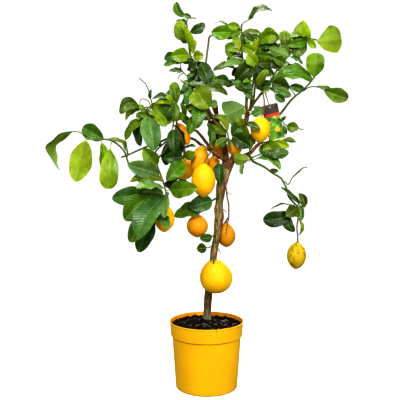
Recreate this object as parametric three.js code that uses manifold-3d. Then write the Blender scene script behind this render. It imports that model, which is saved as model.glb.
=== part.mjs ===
// Potted lemon tree: a young tree with fruit in a smooth yellow plastic pot.
// Millimetres, +Z up, origin at the middle of the pot's base, the best side towards -Y.
import * as THREE from 'three';
import { mergeVertices } from 'three/addons/utils/BufferGeometryUtils.js';
import Module from 'manifold-3d';

const wasm = await Module();
wasm.setup();

// ---- driving dimensions ----

const pot = {
  height: 170,
  rimRadius: 96,
  rimRound: 1.2,
  bandHeight: 37,
  bandRadius: 92.3, // the band's lower edge
  bandLip: 0.6, // how high the band's underside slants
  neckRadius: 89.3, // the wall just under the band
  ledge: 2, // the step inside, where the band begins
  footRadius: 79,
  footRound: 2,
  wall: 2.4,
  floor: 3,
  channelInner: 44, // the drained channel under the base
  channelOuter: 63,
  channelRise: 3,
  channelSlant: 2,
  drainRadius: 4.5,
  drainCount: 6,
  drainSides: 8,
  segments: 24,
};
const soil = {
  top: 155,
  crown: 4, // towards the middle
  backRise: 2.5, // towards the back
  mound: 7, // heaped round the trunk
  moundRadius: 30,
  trunkBack: 22, // the trunk's foot lies behind the pot's middle
  lump: 1.4,
  clearance: 0.6, // to the pot's wall
  segments: 16,
};
const gap = 0.3; // between pieces that rest on or hold each other
const leafThickness = 1.1;
const petioleWidth = 2.2;
const firstLeaf = 9; // how far along its twig the first leaf can sit
const longPetiole = 12; // past this length a petiole keeps its own straight stretch
const leafFold = 0.26; // each half of a blade rises towards its upper face, radians
const leafDroop = 0.1; // how far the midrib bows, as a share of the leaf's length
const leafSlender = 0.46; // a whole leaf's width over its length
const bladeSections = [0.28, 0.72]; // where a blade is cut across, along its length
const fruitShape = {
  body: 0.9, // half the body's length over half the fruit's
  nipple: 0.1,
  neck: 0.06,
  pointSpread: 26, // how far round, in degrees, the two points reach
  fullness: 1.08,
  sides: 10,
  rings: [18, 45, 75, 105, 135, 162], // degrees from the nipple
};
const tie = { radius: 0.7, atCard: 1.6, atTwig: 4.6, behindTwig: 2.6, rise: 1.5, sag: 2.5 };
const card = { width: 42, height: 100, thickness: 0.8, corner: 4, hole: 2.5, holeInset: 7 };

// The tree's points are read from the front: how far across and up a point is seen in the
// upright plane through the trunk, and how far behind that plane it lies (negative in front).
const eye = new THREE.Vector3(-17, -1504, 553);
const upZero = -12; // where 'up' is counted from

function seen(across, up, depth) {
  const inPlane = new THREE.Vector3(across, 0, up + upZero);
  return inPlane.sub(eye).multiplyScalar((depth - eye.y) / -eye.y).add(eye);
}

// ---- wood: routes of [across, up, depth, radius] from root to tip ----

const trunkRoute = [
  [-1, 130, 22, 16], [0, 160, 22, 14], [1, 186, 22, 11.6], [2, 212, 21, 10.2],
  [4, 244, 18, 10], [8, 272, 14, 9.8], [13, 300, 10, 9.5], [17, 334, 5, 9.2], [20, 364, 2, 9],
  [25, 390, 0, 9],
  [28, 412, 0, 9.2], [31, 440, 0, 10], [32, 456, 0, 11], [33, 482, 0, 9.6], [36, 508, 0, 11.2],
  [39, 531, 0, 12.5], [44, 555, 0, 13.5], [48, 573, 2, 13],
];
const rootRoutes = [
  [[0, 160, 22, 8], [26, 142, 4, 5], [60, 94, -24, 2.4]],
  [[0, 158, 22, 8], [-24, 140, 2, 5], [-52, 84, -20, 2.2]],
  [[0, 156, 22, 7], [-20, 138, 36, 4.6], [-44, 76, 48, 2.2]],
  [[0, 156, 22, 7], [22, 136, 36, 4.6], [46, 72, 44, 2.2]],
  [[-1, 140, 22, 9], [2, 106, 12, 6], [3, 46, 4, 2.4]],
];
const spurRoutes = [
  [[34, 476, 0, 1.6], [43, 470, -10, 1.1], [52, 462, -18, 0.8]],
  [[22, 372, 2, 1.6], [32, 365, -8, 1.2], [37, 354, -14, 0.8]],
];
const limbs = {
  leader: {
    wood: [
      [[44, 556, 2, 10], [49, 590, 6, 9], [49, 620, 10, 8], [41, 655, 10, 7], [31, 690, 6, 6],
        [26, 714, 2, 5.2], [25, 741, 0, 5]],
      [[48, 606, 6, 2], [43, 607, -8, 1.7], [39, 602, -18, 1.4]],
    ],
    leaves: [
      [32, 588, 36, 534, 31, -8, 0, 0.4, 1, 'dark'],
    ],
  },
  right_limb: {
    wood: [
      [[49, 560, 2, 11], [60, 585, 6, 10.5], [74, 612, 16, 8], [90, 648, 26, 6.5],
        [102, 690, 29, 5.6], [108, 724, 26, 5]],
    ],
    leaves: [],
  },
  left_limb: {
    wood: [
      [[48, 597, 0, 6.5], [38, 606, -12, 6], [28, 613, -20, 5.4], [15, 622, -26, 4.8],
        [-2, 645, -34, 4], [-22, 670, -42, 3.4], [-36, 679, -46, 3.2], [-60, 701, -46, 3],
        [-95, 717, -46, 2.8], [-125, 728, -42, 2.4]],
      [[-80, 711, -47, 2], [-86, 696, -52, 1.8], [-88, 680, -55, 1.5]],
      [[-44, 686, -46, 2], [-34, 704, -54, 1.8], [-24, 722, -60, 1.5]],
    ],
    leaves: [
      [-88, 677, -85, 618, 34, -14, 0, 0.5, 1, 'dark'],
      [-34, 712, -44, 664, 26, -16, 0, 0.5, 1, 'mid'],
      [-20, 728, -26, 680, 28, -10, 0, 0.5, 1, 'mid'],
      [-87, 690, -58, 636, 12, -8, 0, 0.5, 1, 'shade'],
      [-56, 700, -76, 724, 17, -10, 0, 0.5, 1, 'lime'],
      [-42, 686, -62, 714, 20, 10, 0, 0.5, 1, 'dark'],
      [-26, 716, -54, 744, 19, -8, 0, 0.5, 1, 'shade'],
      [-62, 704, -66, 748, 14, 12, 0, 0.5, 1, 'mid'],
    ],
  },
  low_left_limb: {
    wood: [
      [[26, 617, -18, 4.4], [12, 622, -2, 4.2], [0, 628, 14, 4], [-14, 637, 28, 3.8],
        [-31, 651, 34, 3.4], [-55, 657, 30, 3.2], [-93, 656, 8, 3], [-117, 647, -6, 2.8],
        [-160, 631, -18, 2.4], [-205, 611, -24, 2.2], [-222, 605, -26, 2]],
    ],
    leaves: [
      [4, 630, -18, 610, 12, -6, 0, 0.5, 1, 'spring'],
      [-96, 648, -106, 584, 30, 12, 0, 0.5, 1, 'shade'],
      [-58, 650, -92, 602, 32, 10, 0, 0.5, 1, 'shade'],
    ],
  },
  low_right_limb: {
    wood: [
      [[66, 592, 6, 7], [85, 603, -6, 5.6], [113, 616, -16, 4.8], [127, 631, -20, 4.4],
        [141, 645, -16, 4], [158, 675, 4, 3.4], [178, 703, 12, 3.2], [197, 724, 10, 3],
        [215, 748, 5, 2.6], [232, 765, 0, 2.4], [250, 779, -6, 2.2], [268, 798, -10, 2],
        [279, 812, -12, 1.8]],
      [[249, 777, -4, 1.6], [254, 779, -10, 1.5], [262, 785, -16, 1.4], [276, 789, -22, 1.4],
        [292, 787, -27, 1.4], [303, 782, -30, 1.3]],
      [[277, 810, -12, 1.8], [282, 815, -14, 1.6]],
      [[230, 763, 0, 1.5], [229, 769, -2, 1.3], [222, 778, -4, 1.2], [215, 788, -4, 1.1]],
    ],
    leaves: [
      [279, 814, 285, 877, 50, -6, 0, 0.6, 1, 'lime'],
      [306, 780, 368, 757, 37, -14, 0.02, 0.6, 1, 'lime'],
      [282, 788, 336, 771, 9, -4, 0, 0.55, 1, 'olive'],
      [216, 790, 254, 782, 21, 4, 0, 0.5, 1, 'dark'],
    ],
  },
  drooping_branch: {
    wood: [
      [[110, 612, -14, 3.6], [118, 598, -22, 3.2], [127, 591, -28, 2.8], [150, 580, -40, 2.5],
        [172, 564, -50, 2.4], [192, 552, -58, 2.3], [200, 541, -62, 2.2], [207, 526, -66, 2.1],
        [211, 511, -68, 2]],
      [[199, 543, -62, 1.5], [206, 540, -63, 1.3], [211, 534, -64, 1.2], [217, 540, -65, 1.2],
        [222, 551, -66, 1.2], [232, 561, -67, 1.7], [241, 569, -68, 2], [250, 577, -69, 1.4],
        [262, 580, -70, 1]],
    ],
    leaves: [
      [164, 571, 187, 569, 12, -6, 0, 0.5, 1, 'shade'],
    ],
  },
  front_limb: {
    wood: [
      [[38, 662, 4, 4.6], [24, 690, -36, 4], [8, 722, -68, 3.4], [-10, 756, -90, 3],
        [-30, 785, -100, 2.4], [-42, 790, -102, 2], [-60, 800, -104, 1.6], [-68, 807, -104, 1.4]],
      [[-8, 753, -88, 1.8], [-8, 742, -94, 1.6], [-12, 736, -98, 1.4]],
      [[-6, 751, -88, 1.8], [5, 760, -92, 1.6], [12, 778, -92, 1.4], [15, 801, -90, 1.3]],
    ],
    leaves: [
      [-30, 783, 7, 733, 60, -26, 0, 0.5, 1, 'olive'],
      [-14, 742, -28, 684, 38, -20, 0, 0.45, 1, 'mid'],
      [-14, 784, 56, 768, 24, 8, -0.04, 0.5, 1, 'shade'],
      [4, 744, 28, 744, 21, 12, 0, 0.55, 1, 'lime'],
      [18, 808, 60, 796, 28, 14, -0.1, 0.5, 1, 'dark'],
      [-42, 788, -50, 738, 20, -4, 0, 0.5, 1, 'mid'],
      [-58, 797, -57, 767, 14, 4, 0, 0.5, 1, 'olive'],
      [-34, 787, -52, 748, 18, 22, 0, 0.5, 1, 'shade'],
      [-12, 738, -54, 727, 15, 14, 0, 0.5, 1, 'olive'],
      [-50, 796, 12, 789, 13, 10, 0.06, 0.5, 1, 'shade'],
      [-44, 790, -68, 768, 13, 6, 0, 0.5, 1, 'dark'],
      [-20, 766, -66, 742, 17, 16, 0, 0.5, 1, 'shade'],
    ],
  },
  back_left_limb: {
    wood: [
      [[43, 646, 14, 5], [30, 662, 52, 4.4], [8, 700, 100, 3.8], [-12, 736, 140, 3],
        [-18, 765, 170, 2.2]],
      [[-10, 733, 138, 2], [-24, 744, 158, 1.6]],
    ],
    leaves: [
      [-6, 722, -36, 696, 32, 46, 0, 0.5, 1, 'dark'],
      [-14, 742, -40, 752, 34, 44, 0, 0.5, 1, 'mid'],
      [-12, 740, 6, 702, 28, 50, 0, 0.5, 1, 'mid'],
      [-18, 752, -38, 776, 30, 40, 0, 0.5, 1, 'dark'],
      [-12, 746, 8, 776, 28, 56, 0, 0.5, 1, 'lime'],
      [-20, 746, -26, 712, 34, 60, 0, 0.5, 1, 'dark'],
    ],
  },
  back_right_limb: {
    wood: [
      [[96, 668, 30, 5], [103, 710, 62, 4.4], [104, 742, 92, 3.8], [106, 772, 120, 3.2],
        [112, 806, 146, 2.8], [119, 842, 168, 2.4], [122, 872, 182, 2]],
      [[121, 862, 178, 1.8], [128, 880, 188, 1.5], [124, 900, 194, 1.3]],
    ],
    leaves: [
      [108, 800, 84, 816, 30, 40, 0, 0.5, 1, 'dark'],
      [116, 818, 150, 842, 30, 42, 0, 0.5, 1, 'mid'],
      [120, 850, 102, 846, 28, 44, 0, 0.5, 1, 'dark'],
      [122, 866, 152, 880, 28, 46, 0, 0.5, 1, 'mid'],
      [126, 882, 108, 912, 30, 40, 0, 0.5, 1, 'dark'],
      [124, 900, 102, 926, 28, 30, 0, 0.5, 1, 'lime'],
      [125, 900, 160, 925, 28, 40, 0, 0.5, 1, 'mid'],
    ],
  },
  back_low_limb: {
    wood: [
      [[42, 558, 8, 5], [22, 566, 46, 4.2], [-10, 562, 88, 3.6], [-45, 560, 120, 2.8],
        [-78, 548, 146, 2.2]],
      [[-76, 549, 148, 1.8], [-92, 540, 164, 1.5]],
    ],
    leaves: [
      [-26, 561, 8, 598, 34, 44, 0, 0.5, 1, 'dark'],
      [-30, 558, -12, 512, 32, 40, 0, 0.5, 1, 'mid'],
      [-52, 560, -90, 588, 34, 34, 0, 0.5, 1, 'dark'],
      [-78, 548, -100, 524, 34, 36, 0, 0.5, 1, 'dark'],
      [-70, 548, -48, 522, 28, 46, 0, 0.5, 1, 'mid'],
    ],
  },
  bare_shoot: {
    wood: [
      [[27, 708, 4, 3.4], [14, 744, 8, 3.1], [3, 790, 10, 2.9], [-3, 830, 10, 2.6],
        [1, 872, 10, 2.4], [5, 902, 10, 2.3], [7, 917, 10, 2.3], [11, 921, 9, 2], [16, 922, 7, 1.4]],
    ],
    leaves: [],
  },
};

// ---- sprays ----
// leaf: [base across, base up, tip across, tip up, width as seen, tip's depth past the base's,
//        sideways bow (to the right of base-to-tip), widest place along it, face, tone]
// face 1 shows the upper side to the front, -1 the underside.

const sprays = {
  far_left_spray: {
    wood: [
      [[-128, 592, -50, 2.2], [-165, 577, -56, 2.2], [-195, 573, -60, 2.1], [-205, 595, -62, 2.1],
        [-215, 622, -65, 2.1], [-240, 645, -70, 2.2], [-265, 652, -72, 2], [-285, 648, -74, 1.9],
        [-300, 652, -75, 1.8], [-311, 657, -76, 1.6]],
      [[-298, 651, -75, 1.4], [-318, 664, -76, 1.3], [-333, 671, -77, 1.2], [-346, 673, -78, 1.1]],
    ],
    leaves: [
      [-348, 672, -384, 571, 24, -14, 0.2, 0.5, -1, 'lime'],
      [-314, 648, -340, 541, 58, -15, 0, 0.5, -1, 'spring'],
      [-268, 652, -322, 683, 42, 12, 0, 0.55, 1, 'mid'],
      [-272, 642, -270, 571, 26, -14, 0, 0.5, 1, 'lime'],
      [-251, 626, -255, 523, 50, -22, 0, 0.66, 1, 'lime'],
      [-262, 652, -206, 600, 11, 24, -0.2, 0.5, 1, 'olive'],
    ],
  },
  low_left_spray: {
    wood: [
      [[-95, 655, 4, 2.6], [-108, 622, -22, 2.5], [-122, 607, -38, 2.4], [-130, 595, -48, 2.3],
        [-127, 580, -54, 2.2], [-120, 562, -60, 2.1], [-115, 548, -65, 2], [-108, 525, -70, 1.9],
        [-105, 508, -74, 1.8], [-111, 495, -78, 1.6]],
    ],
    leaves: [
      [-152, 502, -246, 498, 48, -12, 0.05, 0.5, 1, 'ash'],
      [-150, 502, -213, 441, 62, -30, 0.04, 0.5, 1, 'mid'],
      [-112, 499, -182, 391, 58, -62, 0.06, 0.48, 1, 'ash'],
      [-152, 462, -199, 384, 44, -34, 0, 0.55, 1, 'mid'],
      [-140, 450, -177, 358, 45, -8, 0, 0.5, 1, 'olive'],
      [-112, 507, -168, 514, 24, -48, 0, 0.5, -1, 'ash'],
      [-112, 545, -199, 543, 27, -26, 0.05, 0.45, 1, 'olive'],
      [-112, 525, -183, 525, 22, -66, 0, 0.5, 1, 'olive'],
      [-94, 520, -25, 525, 45, -52, 0, 0.5, 1, 'dark'],
      [-100, 513, -110, 448, 26, -58, 0, 0.5, 1, 'ash'],
      [-125, 455, -98, 421, 26, -50, 0, 0.5, 1, 'mid'],
      [-112, 495, -145, 430, 40, 26, 0, 0.5, 1, 'dark'],
      [-128, 585, -165, 628, 38, -24, 0, 0.5, 1, 'lime'],
      [-122, 562, -206, 586, 44, -34, 0, 0.5, 1, 'ash'],
    ],
  },
  inner_left_spray: {
    wood: [
      [[-56, 656, 26, 2.2], [-58, 632, 0, 2], [-59, 612, -16, 1.8], [-58, 594, -24, 1.6]],
    ],
    leaves: [
      [-60, 592, -104, 545, 40, -34, 0, 0.45, 1, 'mid'],
      [-60, 606, -113, 602, 32, -8, 0, 0.5, 1, 'dark'],
      [-62, 624, -108, 592, 26, 10, 0, 0.5, 1, 'dark'],
      [-57, 606, -29, 616, 25, -18, 0, 0.5, 1, 'olive'],
      [-56, 630, -27, 634, 8, -6, 0, 0.5, 1, 'dark'],
    ],
  },
  upper_left_spray: {
    wood: [
      [[-125, 728, -42, 2.4], [-150, 735, -36, 2], [-162, 734, -36, 1.8], [-172, 737, -36, 1.6]],
      [[-140, 732, -40, 1.6], [-143, 750, -40, 1.5], [-148, 765, -40, 1.4], [-151, 780, -40, 1.3],
        [-158, 795, -40, 1.2], [-166, 803, -40, 1.2], [-175, 811, -40, 1.1]],
      [[-146, 734, -38, 1.2], [-149, 748, -36, 1.1], [-160, 756, -34, 1.1], [-171, 755, -34, 1],
        [-174, 745, -35, 1]],
    ],
    leaves: [
      [-175, 738, -226, 721, 36, -26, 0.28, 0.55, 1, 'lime'],
      [-172, 731, -211, 700, 18, -6, 0.12, 0.4, -1, 'olive'],
      [-172, 742, -168, 721, 13, -22, 0, 0.5, 1, 'olive'],
      [-150, 718, -183, 717, 17, -16, -0.05, 0.5, 1, 'olive'],
      [-176, 722, -178, 702, 13, -14, 0, 0.5, 1, 'lime'],
      [-136, 723, -105, 687, 27, -30, 0, 0.6, 1, 'lime'],
      [-152, 724, -134, 710, 13, -26, 0, 0.5, 1, 'olive'],
      [-138, 726, -136, 683, 26, 24, 0, 0.5, 1, 'dark'],
      [-146, 757, -143, 783, 9, 0, 0, 0.4, 1, 'dark'],
      [-151, 716, -136, 622, 52, -26, 0, 0.5, 1, 'ash'],
      [-160, 722, -175, 634, 26, 18, 0, 0.6, 1, 'ash'],
      [-162, 706, -212, 650, 22, 2, 0, 0.45, 1, 'olive'],
      [-152, 732, -162, 706, 14, -8, 0, 0.5, 1, 'shade'],
    ],
  },
  left_crest_spray: {
    wood: [
      [[-95, 719, -46, 2], [-90, 732, -52, 1.8], [-86, 744, -56, 1.5]],
    ],
    leaves: [
      [-90, 746, -142, 757, 15, -2, 0.14, 0.5, 1, 'shade'],
      [-92, 742, -133, 747, 15, -14, 0.1, 0.5, 1, 'spring'],
      [-94, 733, -147, 738, 27, 20, 0, 0.5, 1, 'ash'],
      [-86, 750, -136, 757, 12, 26, 0.1, 0.5, 1, 'olive'],
      [-82, 746, -80, 698, 23, -14, 0, 0.5, 1, 'olive'],
      [-78, 744, -85, 801, 29, 2, 0, 0.62, 1, 'mid'],
      [-94, 738, -112, 700, 40, 8, 0, 0.5, 1, 'dark'],
      [-86, 744, -106, 764, 16, -8, 0, 0.5, 1, 'lime'],
      [-90, 736, -106, 690, 22, 12, -0.14, 0.5, 1, 'lime'],
    ],
  },
  top_left_spray: {
    wood: [
      [[26, 709, 2, 4], [13, 716, -6, 3.6], [3, 736, -10, 3.4], [-9, 770, -14, 3.2],
        [-18, 800, -17, 3], [-26, 830, -20, 2.8], [-32, 852, -24, 2.6], [-42, 870, -28, 2.6],
        [-46, 900, -30, 2.2], [-50, 940, -32, 1.8], [-51, 962, -32, 1.5], [-43, 967, -32, 1.4],
        [-27, 967, -30, 1.4]],
      [[-27, 832, -20, 1.5], [-50, 818, -17, 1.3], [-60, 826, -14, 1.2], [-67, 836, -14, 1.1],
        [-67, 850, -16, 1]],
      [[-59, 825, -14, 1.1], [-70, 818, -12, 1], [-73, 808, -10, 1]],
    ],
    leaves: [
      [-52, 969, -80, 1008, 22, 0, -0.2, 0.6, 1, 'shade'],
      [-47, 905, -73, 961, 37, -12, -0.12, 0.55, 1, 'lime'],
      [-42, 876, -64, 950, 17, -22, 0, 0.5, 1, 'spring'],
      [-50, 948, -80, 959, 11, 8, 0.1, 0.5, 1, 'dark'],
      [-42, 930, -4, 952, 25, -8, 0.06, 0.55, 1, 'mid'],
      [-48, 904, -67, 913, 15, 6, 0, 0.5, 1, 'olive'],
      [-36, 876, -30, 912, 20, 8, -0.1, 0.5, 1, 'lime'],
      [-70, 868, -110, 860, 22, 18, 0.1, 0.5, 1, 'dark'],
      [-46, 868, -93, 868, 37, -18, 0.06, 0.5, 1, 'lime'],
      [-34, 868, -7, 870, 27, -14, 0, 0.5, 1, 'olive'],
      [-54, 861, -90, 852, 18, -10, 0, 0.5, 1, 'mid'],
      [-80, 855, -111, 844, 15, 2, 0, 0.5, 1, 'olive'],
      [-33, 858, -41, 826, 24, -6, 0, 0.5, 1, 'shade'],
      [-62, 828, -98, 829, 13, 0, 0, 0.4, 1, 'dark'],
      [-30, 828, -51, 810, 13, -6, 0, 0.5, 1, 'olive'],
      [-14, 852, 8, 797, 38, -22, 0, 0.55, 1, 'olive'],
      [-24, 826, -46, 796, 24, 4, 0, 0.5, 1, 'dark'],
      [-28, 846, -50, 831, 18, -12, 0, 0.5, 1, 'olive'],
      [-20, 812, -4, 786, 20, 10, 0, 0.5, 1, 'shade'],
      [-22, 828, -32, 790, 22, 8, 0, 0.5, 1, 'shade'],
      [-14, 838, 25, 797, 26, -10, 0, 0.55, 1, 'mid'],
      [-40, 967, -64, 974, 13, -4, 0.1, 0.45, 1, 'ash'],
      [-36, 860, -62, 851, 15, 6, 0, 0.5, 1, 'dark'],
      [-14, 782, -62, 802, 15, 10, 0, 0.5, 1, 'mid'],
      [-16, 796, 15, 787, 13, 14, 0, 0.5, 1, 'dark'],
      [-30, 850, -6, 842, 18, 14, 0, 0.5, 1, 'shade'],
    ],
  },
  centre_spray: {
    wood: [
      [[29, 703, 0, 2.4], [18, 707, -20, 2.2], [8, 704, -34, 2], [4, 692, -42, 1.8]],
    ],
    leaves: [
      [10, 710, 55, 672, 20, -14, -0.18, 0.5, 1, 'lime'],
      [8, 698, 50, 664, 27, 6, 0, 0.45, 1, 'spring'],
      [2, 692, 9, 638, 19, -10, -0.06, 0.5, 1, 'mid'],
      [6, 690, 16, 626, 18, 8, 0.06, 0.5, 1, 'spring'],
    ],
  },
  low_centre_spray: {
    wood: [
      [[36, 680, 4, 2.2], [42, 682, -16, 2], [54, 668, -28, 1.8], [57, 655, -34, 1.6]],
    ],
    leaves: [
      [56, 655, 27, 637, 24, -24, 0, 0.5, -1, 'mid'],
      [24, 682, 46, 648, 34, -6, 0, 0.5, 1, 'shade'],
      [57, 654, 63, 622, 14, -8, 0, 0.5, 1, 'lime'],
    ],
  },
  heart_spray: {
    wood: [
      [[93, 652, 22, 2.4], [86, 660, -6, 2.2], [78, 668, -28, 2], [66, 662, -40, 1.8]],
    ],
    leaves: [
      [68, 660, 114, 632, 38, -14, 0, 0.45, 1, 'dark'],
      [92, 668, 126, 640, 26, 8, 0, 0.5, 1, 'lime'],
    ],
  },
  upper_heart_spray: {
    wood: [
      [[104, 702, 24, 2.2], [98, 700, -2, 2], [92, 690, -20, 1.8]],
      [[97, 699, -6, 1.8], [98, 704, -36, 1.6], [104, 700, -66, 1.4]],
    ],
    leaves: [
      [92, 684, 82, 710, 24, -12, 0, 0.5, 1, 'lime'],
      [92, 692, 66, 662, 34, -4, 0, 0.5, 1, 'dark'],
      [105, 695, 139, 675, 18, -20, 0, 0.5, 1, 'olive'],
      [94, 690, 103, 650, 26, 10, 0, 0.5, 1, 'lime'],
    ],
  },
  broad_leaf_spray: {
    wood: [
      [[106, 728, 22, 2], [102, 736, 8, 1.8], [100, 738, -6, 1.5]],
    ],
    leaves: [
      [99, 737, 48, 714, 68, -34, 0, 0.6, -1, 'ash'],
      [101, 730, 96, 716, 8, -6, 0, 0.5, 1, 'spring'],
    ],
  },
  top_centre_spray: {
    wood: [
      [[106, 722, 20, 4], [103, 740, 16, 3.4], [104, 770, 12, 3.2], [100, 800, 6, 3],
        [96, 840, 0, 2.8], [92, 880, -6, 2.5], [91, 915, -10, 2.2], [91, 951, -12, 1.8]],
      [[91, 942, -12, 1.4], [95, 955, -12, 1.3], [101, 958, -12, 1.2], [109, 962, -12, 1.1]],
    ],
    leaves: [
      [64, 930, 13, 930, 38, -20, 0, 0.55, 1, 'mid'],
      [86, 944, 54, 948, 20, -4, 0, 0.5, 1, 'lime'],
      [56, 943, 20, 953, 5, 12, 0.14, 0.5, 1, 'dark'],
      [88, 930, 45, 920, 26, 6, 0, 0.5, 1, 'mid'],
      [90, 935, 60, 940, 20, 18, 0, 0.5, 1, 'dark'],
      [68, 904, 57, 866, 25, -8, 0.1, 0.5, 1, 'mid'],
      [72, 922, 86, 884, 20, -14, 0, 0.5, 1, 'lime'],
      [99, 880, 60, 881, 12, -18, 0, 0.5, 1, 'lime'],
      [62, 880, 72, 852, 14, -8, 0, 0.5, 1, 'lime'],
      [92, 862, 60, 879, 13, 12, 0, 0.5, 1, 'olive'],
      [98, 853, 46, 845, 21, -20, 0, 0.5, 1, 'mid'],
      [76, 836, 17, 829, 16, -6, 0.1, 0.5, 1, 'shade'],
      [109, 962, 170, 988, 18, 0, -0.14, 0.62, 1, 'olive'],
      [110, 963, 121, 979, 12, 4, 0, 0.5, 1, 'lime'],
      [92, 926, 96, 896, 14, 4, 0, 0.5, 1, 'dark'],
      [92, 906, 106, 884, 16, 8, 0, 0.5, 1, 'shade'],
      [99, 800, 50, 790, 18, 12, 0, 0.5, 1, 'shade'],
      [92, 930, 122, 908, 15, 8, 0, 0.5, 1, 'olive'],
      [96, 842, 66, 818, 20, 14, 0, 0.5, 1, 'shade'],
      [92, 868, 52, 858, 12, 8, 0.1, 0.5, 1, 'dark'],
    ],
  },
  inner_right_spray: {
    wood: [
      [[111, 727, 22, 3.2], [121, 750, 6, 2.8], [125, 780, -8, 2.6], [126, 800, -14, 2.4],
        [123, 828, -20, 2], [118, 850, -24, 1.8], [122, 868, -26, 1.5]],
    ],
    leaves: [
      [120, 848, 76, 803, 46, 10, 0, 0.5, 1, 'shade'],
      [120, 782, 68, 800, 22, -10, 0.06, 0.45, 1, 'ash'],
      [121, 774, 74, 792, 20, -24, -0.1, 0.45, -1, 'ash'],
      [119, 803, 94, 800, 13, -22, 0, 0.5, 1, 'mid'],
      [130, 846, 106, 872, 34, -14, 0, 0.55, 1, 'lime'],
      [124, 880, 92, 893, 26, -4, 0, 0.5, 1, 'lime'],
      [131, 788, 161, 832, 23, -24, 0, 0.6, 1, 'olive'],
      [133, 784, 168, 802, 22, 6, 0, 0.5, 1, 'dark'],
      [128, 826, 150, 842, 34, 20, 0, 0.5, 1, 'dark'],
      [128, 850, 168, 850, 28, 24, 0, 0.5, 1, 'shade'],
      [126, 802, 152, 782, 22, 8, 0, 0.5, 1, 'shade'],
      [122, 756, 96, 776, 15, -6, 0, 0.5, 1, 'ash'],
      [124, 818, 104, 832, 20, 16, 0, 0.5, 1, 'dark'],
    ],
  },
  crest_spray: {
    wood: [
      [[111, 726, 32, 3.2], [115, 742, 36, 3], [117, 770, 40, 2.8], [122, 805, 42, 2.6],
        [128, 850, 42, 2.5], [132, 875, 40, 2.4], [138, 905, 36, 2], [148, 920, 34, 1.6]],
    ],
    leaves: [
      [136, 920, 103, 913, 16, -12, 0, 0.5, 1, 'shade'],
      [140, 928, 97, 932, 16, 10, -0.06, 0.5, 1, 'olive'],
      [144, 910, 190, 918, 42, -24, -0.18, 0.5, 1, 'spring'],
      [142, 888, 188, 895, 22, -14, -0.16, 0.5, 1, 'mid'],
      [132, 882, 134, 916, 11, -14, 0, 0.5, 1, 'spring'],
      [128, 848, 152, 868, 20, 12, 0, 0.5, 1, 'shade'],
      [132, 876, 116, 906, 16, 12, 0, 0.5, 1, 'olive'],
      [122, 806, 148, 826, 24, 16, 0, 0.5, 1, 'dark'],
      [136, 896, 168, 884, 20, 10, 0, 0.5, 1, 'shade'],
    ],
  },
  upper_right_spray: {
    wood: [
      [[112, 727, 28, 3.6], [129, 754, 20, 3.2], [151, 781, 12, 3], [166, 801, 6, 2.8],
        [181, 828, 2, 2.6], [205, 862, 0, 2.4], [232, 888, -2, 2.2], [262, 912, -5, 2],
        [288, 910, -8, 1.8]],
      [[167, 803, 6, 1.2], [168, 836, 12, 1.1], [178, 838, 14, 1], [184, 828, 14, 0.9]],
    ],
    leaves: [
      [262, 908, 252, 961, 45, -8, -0.22, 0.42, 1, 'lime'],
      [262, 906, 212, 896, 25, -14, 0, 0.5, 1, 'mid'],
      [260, 898, 224, 871, 33, -2, 0, 0.55, 1, 'lime'],
      [266, 910, 285, 888, 19, -18, 0, 0.5, 1, 'lime'],
      [288, 905, 351, 914, 70, -24, 0, 0.64, -1, 'spring'],
      [213, 868, 162, 888, 27, -20, 0, 0.45, -1, 'ash'],
      [212, 874, 197, 906, 27, 10, 0, 0.5, 1, 'mid'],
      [178, 862, 134, 872, 21, 14, 0, 0.5, 1, 'lime'],
      [204, 850, 174, 864, 25, -12, 0, 0.5, 1, 'olive'],
      [206, 896, 200, 935, 30, 6, 0, 0.55, 1, 'olive'],
      [218, 866, 251, 848, 11, 0, 0, 0.4, 1, 'ash'],
      [168, 801, 276, 806, 37, -14, -0.12, 0.6, 1, 'mid'],
      [228, 888, 192, 912, 24, 10, 0, 0.5, 1, 'olive'],
      [240, 896, 222, 930, 26, 14, 0, 0.5, 1, 'mid'],
      [196, 852, 172, 846, 22, 10, 0, 0.5, 1, 'shade'],
      [208, 864, 216, 890, 20, 16, 0, 0.5, 1, 'shade'],
      [264, 912, 240, 934, 22, 18, 0, 0.5, 1, 'olive'],
      [263, 916, 222, 919, 9, -22, 0.03, 0.5, 1, 'dark'],
      [184, 832, 214, 852, 16, 12, 0, 0.5, 1, 'ash'],
    ],
  },
  right_heart_spray: {
    wood: [
      [[152, 784, 14, 2], [162, 786, -8, 1.8], [172, 784, -22, 1.6], [178, 772, -28, 1.4]],
    ],
    leaves: [
      [170, 798, 216, 784, 40, 0, 0, 0.45, 1, 'shade'],
      [176, 784, 220, 764, 24, 8, 0, 0.5, 1, 'olive'],
      [178, 768, 203, 750, 21, 0, 0, 0.5, 1, 'dark'],
      [150, 804, 130, 812, 20, 20, 0, 0.5, 1, 'dark'],
      [164, 782, 200, 774, 13, -10, 0, 0.5, 1, 'ash'],
      [164, 784, 140, 778, 18, 6, 0, 0.5, 1, 'olive'],
    ],
  },
  label_side_spray: {
    wood: [
      [[180, 706, 8, 2], [190, 704, -4, 1.8], [198, 698, -10, 1.5], [205, 690, -14, 1.3],
        [226, 683, -16, 1.2], [252, 677, -18, 1.1]],
    ],
    leaves: [
      [209, 685, 240, 681, 27, -8, 0, 0.45, 1, 'olive'],
      [200, 688, 206, 664, 11, 4, 0, 0.5, 1, 'dark'],
      [194, 701, 207, 711, 9, -4, 0, 0.5, 1, 'dark'],
    ],
  },
  lower_right_spray: {
    wood: [
      [[141, 641, -16, 2], [152, 644, -22, 1.8], [170, 646, -28, 1.6], [196, 650, -32, 1.2]],
    ],
    leaves: [
      [152, 644, 192, 602, 44, -14, 0, 0.45, 1, 'lime'],
      [146, 640, 152, 610, 26, 4, 0, 0.5, 1, 'spring'],
      [178, 646, 215, 632, 22, -12, 0, 0.5, 1, 'spring'],
      [198, 650, 233, 645, 13, 0, 0, 0.45, -1, 'ash'],
    ],
  },
  middle_right_spray: {
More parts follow.
